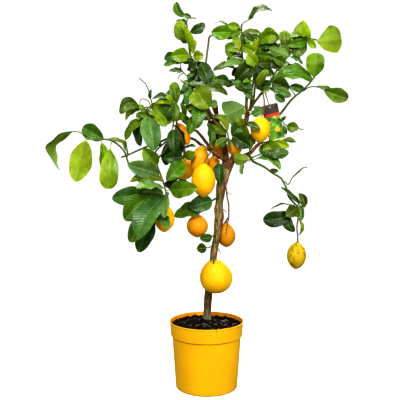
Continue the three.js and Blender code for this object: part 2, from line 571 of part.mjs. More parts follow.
    wood: [
      [[114, 607, -19, 2], [116, 604, -26, 1.8], [128, 608, -30, 1.6], [141, 614, -34, 1.5]],
      [[116, 604, -26, 1.6], [113, 599, -31, 1.4], [111, 595, -35, 1.3]],
    ],
    leaves: [
      [142, 614, 214, 617, 28, -10, 0.08, 0.55, 1, 'mid'],
      [124, 598, 193, 574, 19, -18, -0.16, 0.6, 1, 'mid'],
      [110, 600, 70, 610, 32, -22, -0.12, 0.45, -1, 'spring'],
      [96, 592, 92, 560, 11, -10, 0, 0.5, 1, 'dark'],
      [112, 622, 121, 640, 8, 4, 0, 0.5, 1, 'olive'],
    ],
  },
  pale_leaf_spray: {
    wood: [
      [[108, 712, 26, 2], [112, 716, 4, 1.8], [116, 718, -14, 1.5]],
    ],
    leaves: [
      [118, 717, 147, 727, 21, -20, 0, 0.5, 1, 'ash'],
      [122, 736, 152, 718, 15, 2, 0, 0.5, 1, 'dark'],
    ],
  },
  drooping_spray: {
    wood: [
      [[210, 514, -67, 2], [214, 502, -70, 2], [226, 488, -72, 2], [238, 474, -74, 1.9],
        [239, 455, -76, 1.7], [236, 432, -78, 1.6]],
      [[236, 477, -74, 1.5], [244, 492, -74, 1.4], [245, 504, -74, 1.3]],
    ],
    leaves: [
      [242, 485, 193, 527, 14, -8, -0.08, 0.5, 1, 'dark'],
      [226, 480, 168, 471, 6, 6, 0.03, 0.7, 1, 'dark'],
      [241, 511, 254, 474, 21, -8, -0.14, 0.5, 1, 'olive'],
      [243, 480, 243, 438, 17, -16, -0.16, 0.5, 1, 'mid'],
      [222, 457, 147, 441, 42, -20, -0.05, 0.6, 1, 'dark'],
      [208, 454, 228, 411, 26, -14, 0.12, 0.5, 1, 'shade'],
      [236, 474, 206, 452, 33, -30, 0, 0.5, 1, 'shade'],
      [239, 444, 240, 402, 10, -8, -0.1, 0.5, 1, 'olive'],
    ],
  },
  trunk_pair: {
    wood: [
      [[24, 401, -8, 1.8], [20, 402, -15, 1.6], [15, 400, -20, 1.4]],
    ],
    leaves: [
      [14, 399, -18, 394, 23, -12, -0.06, 0.5, 1, 'dark'],
    ],
  },
  trunk_leaf: {
    wood: [
      [[19, 379, -8, 1.6], [8, 371, -15, 1.3], [0, 370, -17, 1.2]],
    ],
    leaves: [
      [-1, 370, -25, 366, 26, -10, 0, 0.55, 1, 'olive'],
    ],
  },
  hanging_pair: {
    wood: [
      [[32, 500, -10, 1.9], [22, 496, -18, 1.7], [12, 490, -22, 1.5], [2, 482, -24, 1.4]],
    ],
    leaves: [
      [14, 492, -46, 476, 45, -24, 0, 0.5, 1, 'ash'],
      [0, 478, -84, 452, 38, -10, 0, 0.5, 1, 'ash'],
    ],
  },
  dangling_twig: {
    wood: [
      [[46, 541, -11, 2.3], [51, 524, -17, 2.1], [54, 500, -18, 1.9], [57, 485, -18, 1.8],
        [58, 465, -14, 1.8], [57, 446, -8, 1.7], [54, 430, -8, 1.5], [49, 403, -7, 1]],
      [[54, 513, -18, 0.9], [66, 508, -20, 0.6]],
    ],
    leaves: [],
  },
  back_crest_spray: {
    wood: [
      [[-92, 716, -42, 2.2], [-100, 722, 4, 2], [-112, 724, 50, 1.8], [-118, 720, 92, 1.6],
        [-120, 714, 124, 1.4]],
    ],
    leaves: [
      [-108, 726, -130, 745, 26, 40, 0, 0.5, 1, 'lime'],
      [-113, 722, -138, 702, 30, 42, 0, 0.5, 1, 'dark'],
      [-116, 720, -98, 698, 28, 50, 0, 0.5, 1, 'dark'],
      [-119, 716, -140, 730, 26, 56, 0, 0.5, 1, 'mid'],
      [-120, 714, -114, 690, 28, 50, 0, 0.5, 1, 'dark'],
      [-98, 722, -86, 784, 26, 20, 0, 0.6, 1, 'dark'],
    ],
  },
  back_low_left_spray: {
    wood: [
      [[-93, 656, 8, 2.4], [-112, 640, 54, 2.2], [-132, 620, 94, 2], [-142, 590, 120, 1.8],
        [-141, 560, 136, 1.6], [-138, 532, 142, 1.4]],
    ],
    leaves: [
      [-118, 634, -150, 662, 30, 42, 0, 0.5, 1, 'mid'],
      [-134, 616, -160, 600, 28, 44, 0, 0.5, 1, 'dark'],
      [-140, 594, -176, 572, 32, 40, 0, 0.5, 1, 'dark'],
      [-141, 570, -180, 546, 32, 44, 0, 0.5, 1, 'mid'],
      [-138, 540, -170, 514, 30, 40, 0, 0.5, 1, 'dark'],
      [-138, 532, -152, 480, 36, 30, 0, 0.5, 1, 'dark'],
      [-138, 532, -122, 480, 30, 52, 0, 0.5, 1, 'mid'],
    ],
  },
  far_back_spray: {
    wood: [
      [[153, 783, 14, 2.4], [168, 804, 54, 2.3], [182, 830, 90, 2.1], [196, 852, 120, 2],
        [216, 882, 142, 1.8], [236, 897, 152, 1.5]],
    ],
    leaves: [
      [169, 804, 206, 792, 34, 44, 0, 0.5, 1, 'dark'],
      [176, 820, 150, 832, 28, 42, 0, 0.5, 1, 'mid'],
      [186, 836, 160, 862, 30, 44, 0, 0.5, 1, 'dark'],
      [196, 852, 202, 878, 30, 42, 0, 0.5, 1, 'mid'],
      [206, 868, 182, 894, 32, 44, 0, 0.5, 1, 'dark'],
      [216, 882, 250, 886, 30, 40, 0, 0.5, 1, 'mid'],
      [222, 888, 206, 920, 32, 42, 0, 0.5, 1, 'lime'],
      [234, 896, 248, 932, 32, 34, 0, 0.5, 1, 'mid'],
      [184, 832, 246, 828, 28, 36, 0, 0.5, 1, 'dark'],
    ],
  },
};

// ---- lemons: centre as seen, width, length, lean of the stalk end, stalk up to its twig;
// a taper above 0 narrows the stalk's end ----

const lemons = {
  lemon_lower_left: {
    centre: [-110, 447, -58], width: 54, length: 76, lean: [0, 0, 1], tone: 'ripe',
    stalk: [[-110, 481, -62, 1.7], [-110, 495, -74, 1.6]],
  },
  lemon_upper_left: {
    centre: [-62, 666, -30], width: 35, length: 66, lean: [-0.55, 0, 1], tone: 'shade',
    stalk: [[-78, 690, -32, 1.7], [-78, 697, -40, 1.6], [-70, 706, -45, 1.6]],
  },
  lemon_front: {
    centre: [-8, 545, -52], width: 62, length: 93, lean: [0.03, 0, 1], tone: 'bright',
    stalk: [[-6, 588, -52, 2], [0, 604, -44, 1.9], [14, 622, -29, 1.8]],
  },
  lemon_shaded: {
    centre: [-18, 597, -2], width: 45, length: 82, lean: [0.2, 0, 1], tone: 'deep',
    stalk: [[-11, 633, -2, 1.8], [-9, 638, 10, 1.7], [-12, 638, 24, 1.6]],
  },
  lemon_inner_left: {
    centre: [-57, 576, 44], width: 55, length: 62, lean: [0, 0, 1], tone: 'deep',
    stalk: [[-57, 604, 44, 1.8], [-56, 630, 40, 1.7], [-55, 655, 32, 1.6]],
  },
  lemon_behind: {
    centre: [18, 588, 26], width: 34, length: 44, lean: [0, 0, 1], tone: 'shade',
    stalk: [[18, 607, 26, 1.6], [16, 615, 14, 1.5], [13, 620, 2, 1.4]],
  },
  lemon_heart: {
    centre: [31, 622, 44], width: 36, length: 46, lean: [0, 0, 1], tone: 'ripe',
    stalk: [[31, 643, 44, 1.6], [32, 652, 44, 1.5], [34, 657, 44, 1.4]],
  },
  lemon_centre: {
    centre: [73, 632, -26], width: 40, length: 50, lean: [0.05, 0, 1], tone: 'deep',
    stalk: [[75, 655, -26, 1.6], [84, 660, -4, 1.5], [92, 657, 22, 1.5]],
  },
  lemon_right: {
    centre: [140, 677, -52], width: 51, length: 72, lean: [0.06, 0, 1], tone: 'bright',
    stalk: [[142, 710, -52, 2], [149, 730, -36, 1.8], [150, 752, -10, 1.7], [146, 774, 12, 1.6]],
  },
  lemon_low: {
    centre: [-24, 427, -16], width: 55, length: 63, lean: [0, 0, 1], tone: 'deep',
    stalk: [[-24, 456, -16, 1.9], [-14, 472, -14, 1.8], [6, 488, -8, 1.7], [32, 503, 0, 1.6]],
  },
  lemon_beside_trunk: {
    centre: [51, 404, 27], width: 47, length: 68, lean: [-0.06, -0.1, 1], taper: 0.14,
    tone: 'ripe', stalk: [[50, 435, 24, 2.1], [52, 442, 13, 1.8], [57, 449, -5, 1.5]],
  },
  lemon_on_trunk: {
    centre: [24, 297, -54], width: 84, length: 100, lean: [-0.2, -0.35, 1], taper: 0.16,
    tone: 'bright', stalk: [[17, 328, -80, 1.9], [21, 342, -78, 1.8], [26, 360, -50, 1.7],
      [29, 375, -8, 1.7], [24, 382, 0, 1.7]],
  },
  lemon_far_right: {
    centre: [234, 349, -80], width: 50, length: 73, lean: [0.07, 0, 1], tone: 'green',
    stalk: [[237, 382, -80, 1.9], [237, 400, -80, 1.6], [235, 418, -79, 1.5],
      [236, 436, -78, 1.4]],
  },
};

const colours = {
  pot: 0xf7bc05, soil: 0x2b2019, bark: 0x7c6a45, twig: 0x5d6140, cut: 0x7a6a58,
  leaf: 0x3f6f1c, card: 0x5d7a2c, tie: 0x4a4f3a,
  bright: 0xf6d512, ripe: 0xeeb40e, deep: 0xdc9411, shade: 0xb96f12, green: 0xe6cc1f,
};

// ---- builders ----

function finish(colour, roughness) {
  return new THREE.MeshStandardMaterial({ color: colour, roughness, metalness: 0 });
}

// A closed solid from a closed three.js geometry.
function solidFrom(geometry) {
  const bare = geometry.clone();
  bare.deleteAttribute('normal');
  bare.deleteAttribute('uv');
  const merged = mergeVertices(bare, 1e-4);
  const mesh = new wasm.Mesh({
    numProp: 3,
    vertProperties: new Float32Array(merged.attributes.position.array),
    triVerts: new Uint32Array(merged.index.array),
  });
  return new wasm.Manifold(mesh);
}

// The largest skin of a solid: scraps cut loose and pockets sealed inside are left out.
function geometryFrom(solid) {
  const mesh = solid.getMesh();
  const faces = mesh.triVerts;
  const skinOf = Array.from({ length: mesh.numVert }, (_, index) => index);
  const root = (index) => {
    let top = index;
    while (skinOf[top] !== top) top = skinOf[top];
    skinOf[index] = top;
    return top;
  };
  for (let face = 0; face < faces.length; face += 3) {
    skinOf[root(faces[face + 1])] = root(faces[face]);
    skinOf[root(faces[face + 2])] = root(faces[face]);
  }
  const corner = (index) => new THREE.Vector3().fromArray(mesh.vertProperties, index * 3);
  const skins = new Map();
  for (let face = 0; face < faces.length; face += 3) {
    const [a, b, c] = [faces[face], faces[face + 1], faces[face + 2]];
    const skin = skins.get(root(a)) ?? { volume: 0, faces: [] };
    skin.volume += corner(a).dot(corner(b).cross(corner(c))) / 6;
    skin.faces.push(a, b, c);
    skins.set(root(a), skin);
  }
  const [largest] = [...skins.values()].sort((a, b) => b.volume - a.volume);
  const geometry = new THREE.BufferGeometry();
  geometry.setAttribute('position', new THREE.BufferAttribute(mesh.vertProperties, 3));
  geometry.setIndex(largest.faces);
  const kept = mergeVertices(geometry.toNonIndexed(), 1e-3);
  kept.computeBoundingBox();
  return kept;
}

// Skins a row of rings, all with the same number of points, into one closed body. A point at
// the end closes it to a tip.
function loft(rings, { tip = null, endless = false } = {}) {
  const count = rings[0].length;
  const positions = [...rings.flat(), ...(tip ? [tip] : [])].flatMap((point) => point.toArray());
  const faces = [];
  const spans = endless ? rings.length : rings.length - 1;
  for (let ring = 0; ring < spans; ring += 1) {
    const here = ring * count;
    const next = ((ring + 1) % rings.length) * count;
    for (let side = 0; side < count; side += 1) {
      const beside = (side + 1) % count;
      faces.push(here + side, here + beside, next + side);
      faces.push(here + beside, next + beside, next + side);
    }
  }
  const last = (rings.length - 1) * count;
  for (let side = 1; side < count - 1 && !endless; side += 1) {
    faces.push(0, side + 1, side);
    if (!tip) faces.push(last, last + side, last + side + 1);
  }
  for (let side = 0; side < count && tip; side += 1) {
    faces.push(last + side, last + ((side + 1) % count), last + count);
  }
  const geometry = new THREE.BufferGeometry();
  geometry.setAttribute('position', new THREE.Float32BufferAttribute(positions, 3));
  geometry.setIndex(faces);
  return geometry;
}

// Directions square to a path, carried along it without twisting.
function squareFrames(points, endless = false) {
  const count = points.length;
  let across = new THREE.Vector3(0, 1, 0.17);
  return points.map((point, index) => {
    const before = points[endless ? (index + count - 1) % count : Math.max(index - 1, 0)];
    const after = points[endless ? (index + 1) % count : Math.min(index + 1, count - 1)];
    const along = after.clone().sub(before).normalize();
    const other = along.clone().cross(across).normalize();
    across = other.clone().cross(along).normalize();
    return { across: across.clone(), other };
  });
}

function roundRings(points, radii, sides, endless = false) {
  return squareFrames(points, endless).map(({ across, other }, index) => {
    const ring = [];
    for (let side = 0; side < sides; side += 1) {
      const angle = (2 * Math.PI * side) / sides;
      const offset = across.clone().multiplyScalar(Math.cos(angle) * radii[index]);
      offset.addScaledVector(other, Math.sin(angle) * radii[index]);
      ring.push(offset.add(points[index]));
    }
    return ring;
  });
}

// A tapering stem through [across, up, depth, radius] points; grow swells it on every side.
function stem(route, sides, grow = 0) {
  const points = route.map(([across, up, depth]) => seen(across, up, depth));
  const radii = route.map((point) => point[3] + grow);
  const end = points.length - 1;
  points[0].addScaledVector(points[0].clone().sub(points[1]).normalize(), grow);
  points[end].addScaledVector(points[end].clone().sub(points[end - 1]).normalize(), grow);
  return solidFrom(loft(roundRings(points, radii, sides)));
}

// The point of a route that lies nearest to a place as seen, past the first part of the route,
// which is inside the wood it grows from.
function nearestOnRoutes(routes, across, up) {
  let best = { distance: Infinity };
  for (const route of routes) {
    for (let index = 0; index < route.length - 1; index += 1) {
      const [x0, z0, y0] = route[index];
      const [x1, z1, y1] = route[index + 1];
      const span = (x1 - x0) ** 2 + (z1 - z0) ** 2;
      const along = ((across - x0) * (x1 - x0) + (up - z0) * (z1 - z0)) / span;
      const least = index === 0 ? Math.min(1, firstLeaf / Math.sqrt(span + (y1 - y0) ** 2)) : 0;
      const t = THREE.MathUtils.clamp(along, least, 1);
      const spot = route[index].map((value, axis) => value + (route[index + 1][axis] - value) * t);
      const distance = Math.hypot(spot[0] - across, spot[1] - up);
      if (distance < best.distance) best = { distance, spot };
    }
  }
  return best.spot;
}

// A leaf: a petiole from its twig, then a blade folded along a bowed midrib.
function leaf(routes, entry, grow = 0) {
  const [baseAcross, baseUp, tipAcross, tipUp, width, reach, bow, widest, face] = entry;
  const root = nearestOnRoutes(routes, baseAcross, baseUp);
  const start = seen(root[0], root[1], root[2]);
  const base = seen(baseAcross, baseUp, root[2] + 0.15 * reach);
  const tip = seen(tipAcross, tipUp, root[2] + reach);
  const along = tip.clone().sub(base);
  const length = along.length();
  along.normalize();
  const view = base.clone().lerp(tip, 0.5).sub(eye).normalize();
  const towards = along.clone().multiplyScalar(view.dot(along)).sub(view).normalize();
  const right = along.clone().cross(towards).normalize();
  const shown = (width * (root[2] - eye.y)) / -eye.y;
  const whole = Math.max(shown, Math.min(leafSlender * length, shown * 3));
  const tilt = Math.acos(Math.min(1, shown / whole)) * (right.z * face >= 0 ? 1 : -1);
  const normal = towards.clone().multiplyScalar(Math.cos(tilt)).addScaledVector(right, Math.sin(tilt));
  const side = right.clone().multiplyScalar(Math.cos(tilt)).addScaledVector(towards, -Math.sin(tilt));
  const upper = normal.multiplyScalar(face);

  const rod = petioleWidth / 2 + grow;
  // A ring of the petiole, square to the way it runs there.
  const rodRing = (centre, way) => {
    const wide = way.clone().cross(upper).normalize().multiplyScalar(face * rod);
    const deep = wide.clone().cross(way).normalize().multiplyScalar(face * 0.8 * rod);
    return [centre.clone().add(wide), centre.clone().add(deep), centre.clone().sub(wide),
      centre.clone().sub(deep)];
  };
  const way = base.clone().sub(start);
  const longStalk = way.length() > longPetiole;
  way.normalize();
  const rings = [rodRing(start.clone().addScaledVector(way, -grow), longStalk ? way : along)];
  if (longStalk) rings.push(rodRing(base, way.add(along).normalize()));
  const pointed = 1.3 * widest;
  const blunt = 1.3 - pointed;
  const fullest = widest ** pointed * (1 - widest) ** blunt;
  for (const part of bladeSections) {
    const half = (whole / 2) * ((part ** pointed * (1 - part) ** blunt) / fullest) + 3 * grow;
    const middle = base.clone().addScaledVector(along, length * part);
    const arch = 4 * part * (1 - part) * length;
    middle.addScaledVector(right, arch * bow).addScaledVector(upper, arch * leafDroop);
    const wide = side.clone().multiplyScalar(half * Math.cos(leafFold));
    const lift = upper.clone().multiplyScalar(half * Math.sin(leafFold));
    const deep = upper.clone().multiplyScalar(leafThickness / 2 + 2 * grow);
    rings.push([middle.clone().add(wide).add(lift), middle.clone().add(deep),
      middle.clone().sub(wide).add(lift), middle.clone().sub(deep)]);
  }
  tip.addScaledVector(along, 3 * grow);
  return solidFrom(loft(face < 0 ? rings : rings.map((ring) => [...ring].reverse()), { tip }));
}

function joined(solids) {
  return solids.reduce((whole, part) => whole.add(part));
}

const sidesOf = ([[, , , radius]]) => (radius > 3.4 ? 6 : radius > 1.9 ? 4 : 3);
const woodOf = ({ wood }, grow) => joined(wood.map((route) => stem(route, sidesOf(route), grow)));
const leavesOf = ({ wood, leaves }, grow) => joined(leaves.map((entry) => leaf(wood, entry, grow)));

// A lemon about its own long axis, from the nipple up to the stalk end.
function lemon({ centre, width, length, lean, stalk, taper = 0 }, grow = 0) {
  const scale = (centre[2] - eye.y) / -eye.y;
  const half = (length * scale) / 2;
  const { body, nipple, neck, pointSpread, fullness, sides, rings } = fruitShape;
  const profile = [new THREE.Vector2(0, -half - grow)];
  for (const degrees of rings) {
    const angle = THREE.MathUtils.degToRad(degrees);
    const below = nipple * Math.exp(-((degrees / pointSpread) ** 2));
    const above = neck * Math.exp(-(((180 - degrees) / pointSpread) ** 2));
    const egg = 1 + taper * Math.cos(angle); // narrower towards the stalk
    const radius = ((width * scale) / 2) * egg * Math.sin(angle) ** fullness + grow;
    profile.push(new THREE.Vector2(radius, half * (-Math.cos(angle) * body - below + above)));
  }
  profile.push(new THREE.Vector2(0, half * (body + neck / 1.5) + grow));
  const geometry = new THREE.LatheGeometry(profile, sides);
  const upright = new THREE.Vector3(0, 1, 0);
  const axis = new THREE.Vector3(...lean).normalize();
  geometry.applyQuaternion(new THREE.Quaternion().setFromUnitVectors(upright, axis));
  geometry.translate(...seen(...centre).toArray());
  const fruit = solidFrom(geometry);
  return stalk.length ? fruit.add(stem(stalk, 4, grow)) : fruit;
}

// ---- pot, soil, label ----

function potSolid() {
  const { height, rimRadius, rimRound, bandHeight, bandRadius, neckRadius, ledge } = pot;
  const { footRadius, footRound, wall, floor } = pot;
  const { channelInner, channelOuter, channelRise, channelSlant } = pot;
  const bandFoot = height - bandHeight;
  const floorTop = channelRise + floor;
  const outline = [
    [0, 0], [channelInner, 0], [channelInner + channelSlant, channelRise],
    [channelOuter - channelSlant, channelRise], [channelOuter, 0],
    [footRadius - footRound, 0], [footRadius, footRound],
    [neckRadius, bandFoot], [bandRadius, bandFoot + pot.bandLip],
    [rimRadius, height - rimRound], [rimRadius - rimRound, height], [rimRadius - wall, height - rimRound],
    [bandRadius - wall, bandFoot + 2 * ledge], [neckRadius - wall, bandFoot - ledge],
    [footRadius - wall, floorTop], [0, floorTop],
  ].map(([radius, up]) => new THREE.Vector2(radius, up));
  const geometry = new THREE.LatheGeometry(outline, pot.segments);
  geometry.rotateX(Math.PI / 2);
  let solid = solidFrom(geometry);
  const drainRing = (channelInner + channelOuter) / 2;
  const drainLength = 4 * floorTop;
  for (let index = 0; index < pot.drainCount; index += 1) {
    const angle = (2 * Math.PI * (index + 0.5)) / pot.drainCount;
    const hole = new THREE.CylinderGeometry(pot.drainRadius, pot.drainRadius, drainLength, pot.drainSides);
    hole.rotateX(Math.PI / 2);
    hole.translate(drainRing * Math.cos(angle), drainRing * Math.sin(angle), channelRise);
    solid = solid.subtract(solidFrom(hole));
  }
  return solid;
}

// The height of the soil's lumpy top at a place.
function soilHeight(x, y) {
  const crown = soil.crown * (1 - Math.hypot(x, y) / pot.rimRadius);
  const slope = (soil.backRise * y) / pot.rimRadius;
  const fromTrunk = Math.hypot(x, y - soil.trunkBack) / soil.moundRadius;
  const mound = soil.mound * Math.exp(-fromTrunk * fromTrunk);
  const lumps = Math.sin(x * 0.19 + 1) * Math.cos(y * 0.23) + 0.6 * Math.sin(x * 0.37 - y * 0.31);
  return soil.top + crown + slope + mound + soil.lump * lumps;
}

function soilSolid() {
  const { bandHeight, height, bandRadius, neckRadius, footRadius, wall, floor } = pot;
  const bandFoot = height - bandHeight;
  const inset = wall + soil.clearance;
  const flare = ((pot.rimRadius - bandRadius) * (soil.top - bandFoot)) / bandHeight;
  const bottom = floor + pot.channelRise + gap;
  const edge = bandRadius - inset - soil.clearance + flare;
  const topRings = [1, 0.82, 0.6, 0.37, 0.16, 0].map((share) => [share * edge, soil.top]);
  const outline = [
    [0, bottom], [footRadius - 2 * soil.clearance - wall, bottom],
    [neckRadius - inset, bandFoot - pot.ledge], [bandRadius - inset, bandFoot + 2 * pot.ledge],
    ...topRings,
  ].map(([radius, up]) => new THREE.Vector2(radius, up));
  const geometry = new THREE.LatheGeometry(outline, soil.segments);
  geometry.rotateX(Math.PI / 2);
  const position = geometry.attributes.position;
  for (let index = 0; index < position.count; index += 1) {
    if (position.getZ(index) > soil.top - 0.01) {
      position.setZ(index, soilHeight(position.getX(index), position.getY(index)));
    }
  }
  return solidFrom(geometry);
}

const labelTop = seen(163, 742, 4);
const labelFoot = seen(184, 651, 2);

function labelSolid(grow = 0) {
  const { width, height, thickness, corner, hole, holeInset } = card;
  const outline = new THREE.Shape();
  const x = width / 2;
  outline.moveTo(-x + corner, 0);
  outline.lineTo(x - corner, 0);
  outline.absarc(x - corner, -corner, corner, Math.PI / 2, 0, true);
  outline.lineTo(x, -height + corner);
  outline.absarc(x - corner, -height + corner, corner, 0, -Math.PI / 2, true);
  outline.lineTo(-x + corner, -height);
  outline.absarc(-x + corner, -height + corner, corner, -Math.PI / 2, -Math.PI, true);
  outline.lineTo(-x, -corner);
  outline.absarc(-x + corner, -corner, corner, Math.PI, Math.PI / 2, true);
  const punched = new THREE.Path();
  punched.absarc(0, -holeInset, hole - grow, 0, 2 * Math.PI, false);
  outline.holes.push(punched);
  const depth = thickness + 2 * grow;
  const geometry = new THREE.ExtrudeGeometry(outline, { depth, bevelEnabled: false, curveSegments: 2 });
  geometry.translate(0, 0, -depth / 2);
  const up = labelTop.clone().sub(labelFoot).normalize();
  const face = new THREE.Vector3(-0.12, -1, 0).normalize();
  const across = up.clone().cross(face).normalize();
  const turned = new THREE.Matrix4().makeBasis(across, up, across.clone().cross(up));
  geometry.applyMatrix4(turned.setPosition(labelTop));
  return solidFrom(geometry);
}

// The tie runs through the card's hole and round the twig above it.
function tieSolid(grow = 0) {
  const hole = labelTop.clone().lerp(labelFoot, card.holeInset / card.height);
  const twig = seen(150, 780, 12);
  const front = new THREE.Vector3(0, -1, 0);
  const points = [
    hole.clone().addScaledVector(front, tie.atCard).setZ(hole.z + tie.rise),
    hole.clone().lerp(twig, 0.5).addScaledVector(front, tie.sag),
    twig.clone().addScaledVector(front, tie.atTwig),
    twig.clone().add(new THREE.Vector3(-tie.behindTwig, -tie.behindTwig, tie.behindTwig)),
    twig.clone().add(new THREE.Vector3(-tie.behindTwig, tie.behindTwig, tie.behindTwig)),
    twig.clone().addScaledVector(front, -tie.atTwig),
    hole.clone().lerp(twig, 0.5).addScaledVector(front, -tie.sag),
    hole.clone().addScaledVector(front, -tie.atCard).setZ(hole.z + tie.rise),
    hole.clone(),
  ];
  const radii = points.map(() => tie.radius + grow);
  return solidFrom(loft(roundRings(points, radii, 4, true), { endless: true }));
}

// ---- assembly ----

const tree = new THREE.Group();
const placed = [];

// A solid cut clear of everything that is already placed, but not of the piece it belongs to.
function cleared(solid, name) {
  const { min, max } = solid.boundingBox();
  const near = placed.filter(({ owner, box }) => owner !== name
    && [0, 1, 2].every((axis) => min[axis] < box.max[axis] && box.min[axis] < max[axis]));
  return near.reduce((rest, other) => rest.subtract(other.grown), solid);
}

// Keeps a piece's grown shape as the cutter for what is placed after it.
function place(owner, grown) {
  placed.push({ owner, grown, box: grown.boundingBox() });
}

function addPiece(name, solid, colour, roughness) {
  const mesh = new THREE.Mesh(geometryFrom(solid), finish(colour, roughness));
  mesh.geometry.boundingBox.getCenter(mesh.position);
  mesh.geometry.translate(...mesh.position.clone().negate().toArray());
  mesh.name = name;
  tree.add(mesh);
}

const trunk = (grow) => joined([
  stem(trunkRoute, 9, grow),
  ...[...rootRoutes, ...spurRoutes].map((route) => stem(route, 4, grow)),
]);
const potBody = potSolid();
addPiece('pot', potBody, colours.pot, 0.35);
place('pot', potBody);
addPiece('trunk', trunk(0), colours.bark, 0.85);
place('trunk', trunk(gap));
const soilBody = cleared(soilSolid(), 'soil');
addPiece('soil', soilBody, colours.soil, 1);
place('soil', soilBody);

// Wood first, then fruit, then leaves, so that nothing cuts the wood that carries it.
const branches = Object.entries({ ...limbs, ...sprays });
const bodies = new Map();
for (const [name, branch] of branches) {
  bodies.set(name, cleared(woodOf(branch, 0), name));
  place(name, woodOf(branch, gap));
}
for (const [name, fruit] of Object.entries(lemons)) {
  addPiece(name, cleared(lemon(fruit), name), colours[fruit.tone], 0.45);
  place(name, lemon(fruit, gap));
}
for (const [name, branch] of branches) {
  if (branch.leaves.length) {
    const blades = leavesOf(branch, 0);
    bodies.set(name, bodies.get(name).add(cleared(blades, name)));
    place(name, leavesOf(branch, gap).add(blades));
  }
  const colour = branch.leaves.length ? colours.leaf : colours.bark;
  addPiece(name, bodies.get(name), colour, branch.leaves.length ? 0.45 : 0.8);
}
addPiece('plant_label', cleared(labelSolid(), 'plant_label'), colours.card, 0.4);
place('plant_label', labelSolid(gap));
addPiece('label_tie', cleared(tieSolid(), 'label_tie'), colours.tie, 0.6);

export default tree;
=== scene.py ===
# Potted lemon tree. The CAD frame gives the pieces and their places, this script gives them
# their looks: grown leaves and fruit, bark, compost, the moulded pot and a pale studio.
import functools
import math
import random

import bpy
import numpy as np
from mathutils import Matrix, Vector, noise


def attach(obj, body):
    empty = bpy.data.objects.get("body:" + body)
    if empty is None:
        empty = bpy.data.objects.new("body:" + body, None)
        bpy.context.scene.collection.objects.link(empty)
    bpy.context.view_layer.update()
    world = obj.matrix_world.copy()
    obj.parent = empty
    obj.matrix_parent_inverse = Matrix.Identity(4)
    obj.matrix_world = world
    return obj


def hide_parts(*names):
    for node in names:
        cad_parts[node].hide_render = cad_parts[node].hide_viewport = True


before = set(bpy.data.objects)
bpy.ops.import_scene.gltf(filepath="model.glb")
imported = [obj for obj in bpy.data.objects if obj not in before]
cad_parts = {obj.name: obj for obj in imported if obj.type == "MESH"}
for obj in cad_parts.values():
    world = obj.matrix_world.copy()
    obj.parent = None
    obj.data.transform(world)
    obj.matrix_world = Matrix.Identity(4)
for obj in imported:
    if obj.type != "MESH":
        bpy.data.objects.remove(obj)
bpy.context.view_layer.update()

millimetre = 0.001

# The tree was read from the front. Points are [across, up, depth] in mm: how far across and up
# a point is seen in the upright plane through the trunk, and how far behind it the point lies.
eye = np.array([-17.0, -1504.0, 553.0])
upZero = -12.0         # where "up" is counted from

cameraSpec = {
    "focalPixels": 578.5,      # for a 400 pixel wide image
    "imagePixels": 400,
    "horizonPixel": 172.7,     # the row that is level with the eye
    "sensor": 36.0,
}


def linkObject(name, data):
    linked = bpy.data.objects.new(name, data)
    bpy.context.scene.collection.objects.link(linked)
    return linked


def buildCamera():
    data = bpy.data.cameras.new("productCamera")
    data.sensor_width = cameraSpec["sensor"]
    data.lens = cameraSpec["focalPixels"] / cameraSpec["imagePixels"] * cameraSpec["sensor"]
    data.shift_y = cameraSpec["horizonPixel"] / cameraSpec["imagePixels"] - 0.5
    data.clip_start = 0.05
    data.clip_end = 60
    camera = linkObject("productCamera", data)
    camera.location = eye * millimetre
    camera.rotation_euler = (math.pi / 2, 0, 0)
    bpy.context.scene.camera = camera


buildCamera()
print("camera set")

# The tree's layout. A route is [across, up, depth, radius] from root to tip. A leaf is [tone,
# base across, base up, tip across, tip up, width as seen, depth of the tip past the base], and
# may go on with its sideways bow, where it is widest, and -1 if it shows its under side.
trunkRoute = [
    [-1, 130, 22, 16], [0, 160, 22, 14], [1, 186, 22, 11.6], [2, 212, 21, 10.2], [4, 244, 18, 10],
    [8, 272, 14, 9.8], [13, 300, 10, 9.5], [17, 334, 5, 9.2], [20, 364, 2, 9], [25, 390, 0, 9],
    [28, 412, 0, 9.2], [31, 440, 0, 10], [32, 456, 0, 11], [33, 482, 0, 9.6], [36, 508, 0, 11.2],
    [39, 531, 0, 12.5], [44, 555, 0, 13.5], [48, 573, 2, 13],
]
rootRoutes = [
    [[0, 160, 22, 8], [26, 142, 4, 5], [60, 94, -24, 2.4]],
    [[0, 158, 22, 8], [-24, 140, 2, 5], [-52, 84, -20, 2.2]],
    [[0, 156, 22, 7], [-20, 138, 36, 4.6], [-44, 76, 48, 2.2]],
    [[0, 156, 22, 7], [22, 136, 36, 4.6], [46, 72, 44, 2.2]],
    [[-1, 140, 22, 9], [2, 106, 12, 6], [3, 46, 4, 2.4]],
]
spurRoutes = [
    [[34, 476, 0, 1.6], [43, 470, -10, 1.1], [52, 462, -18, 0.8]],
    [[22, 372, 2, 1.6], [32, 365, -8, 1.2], [37, 354, -14, 0.8]],
]
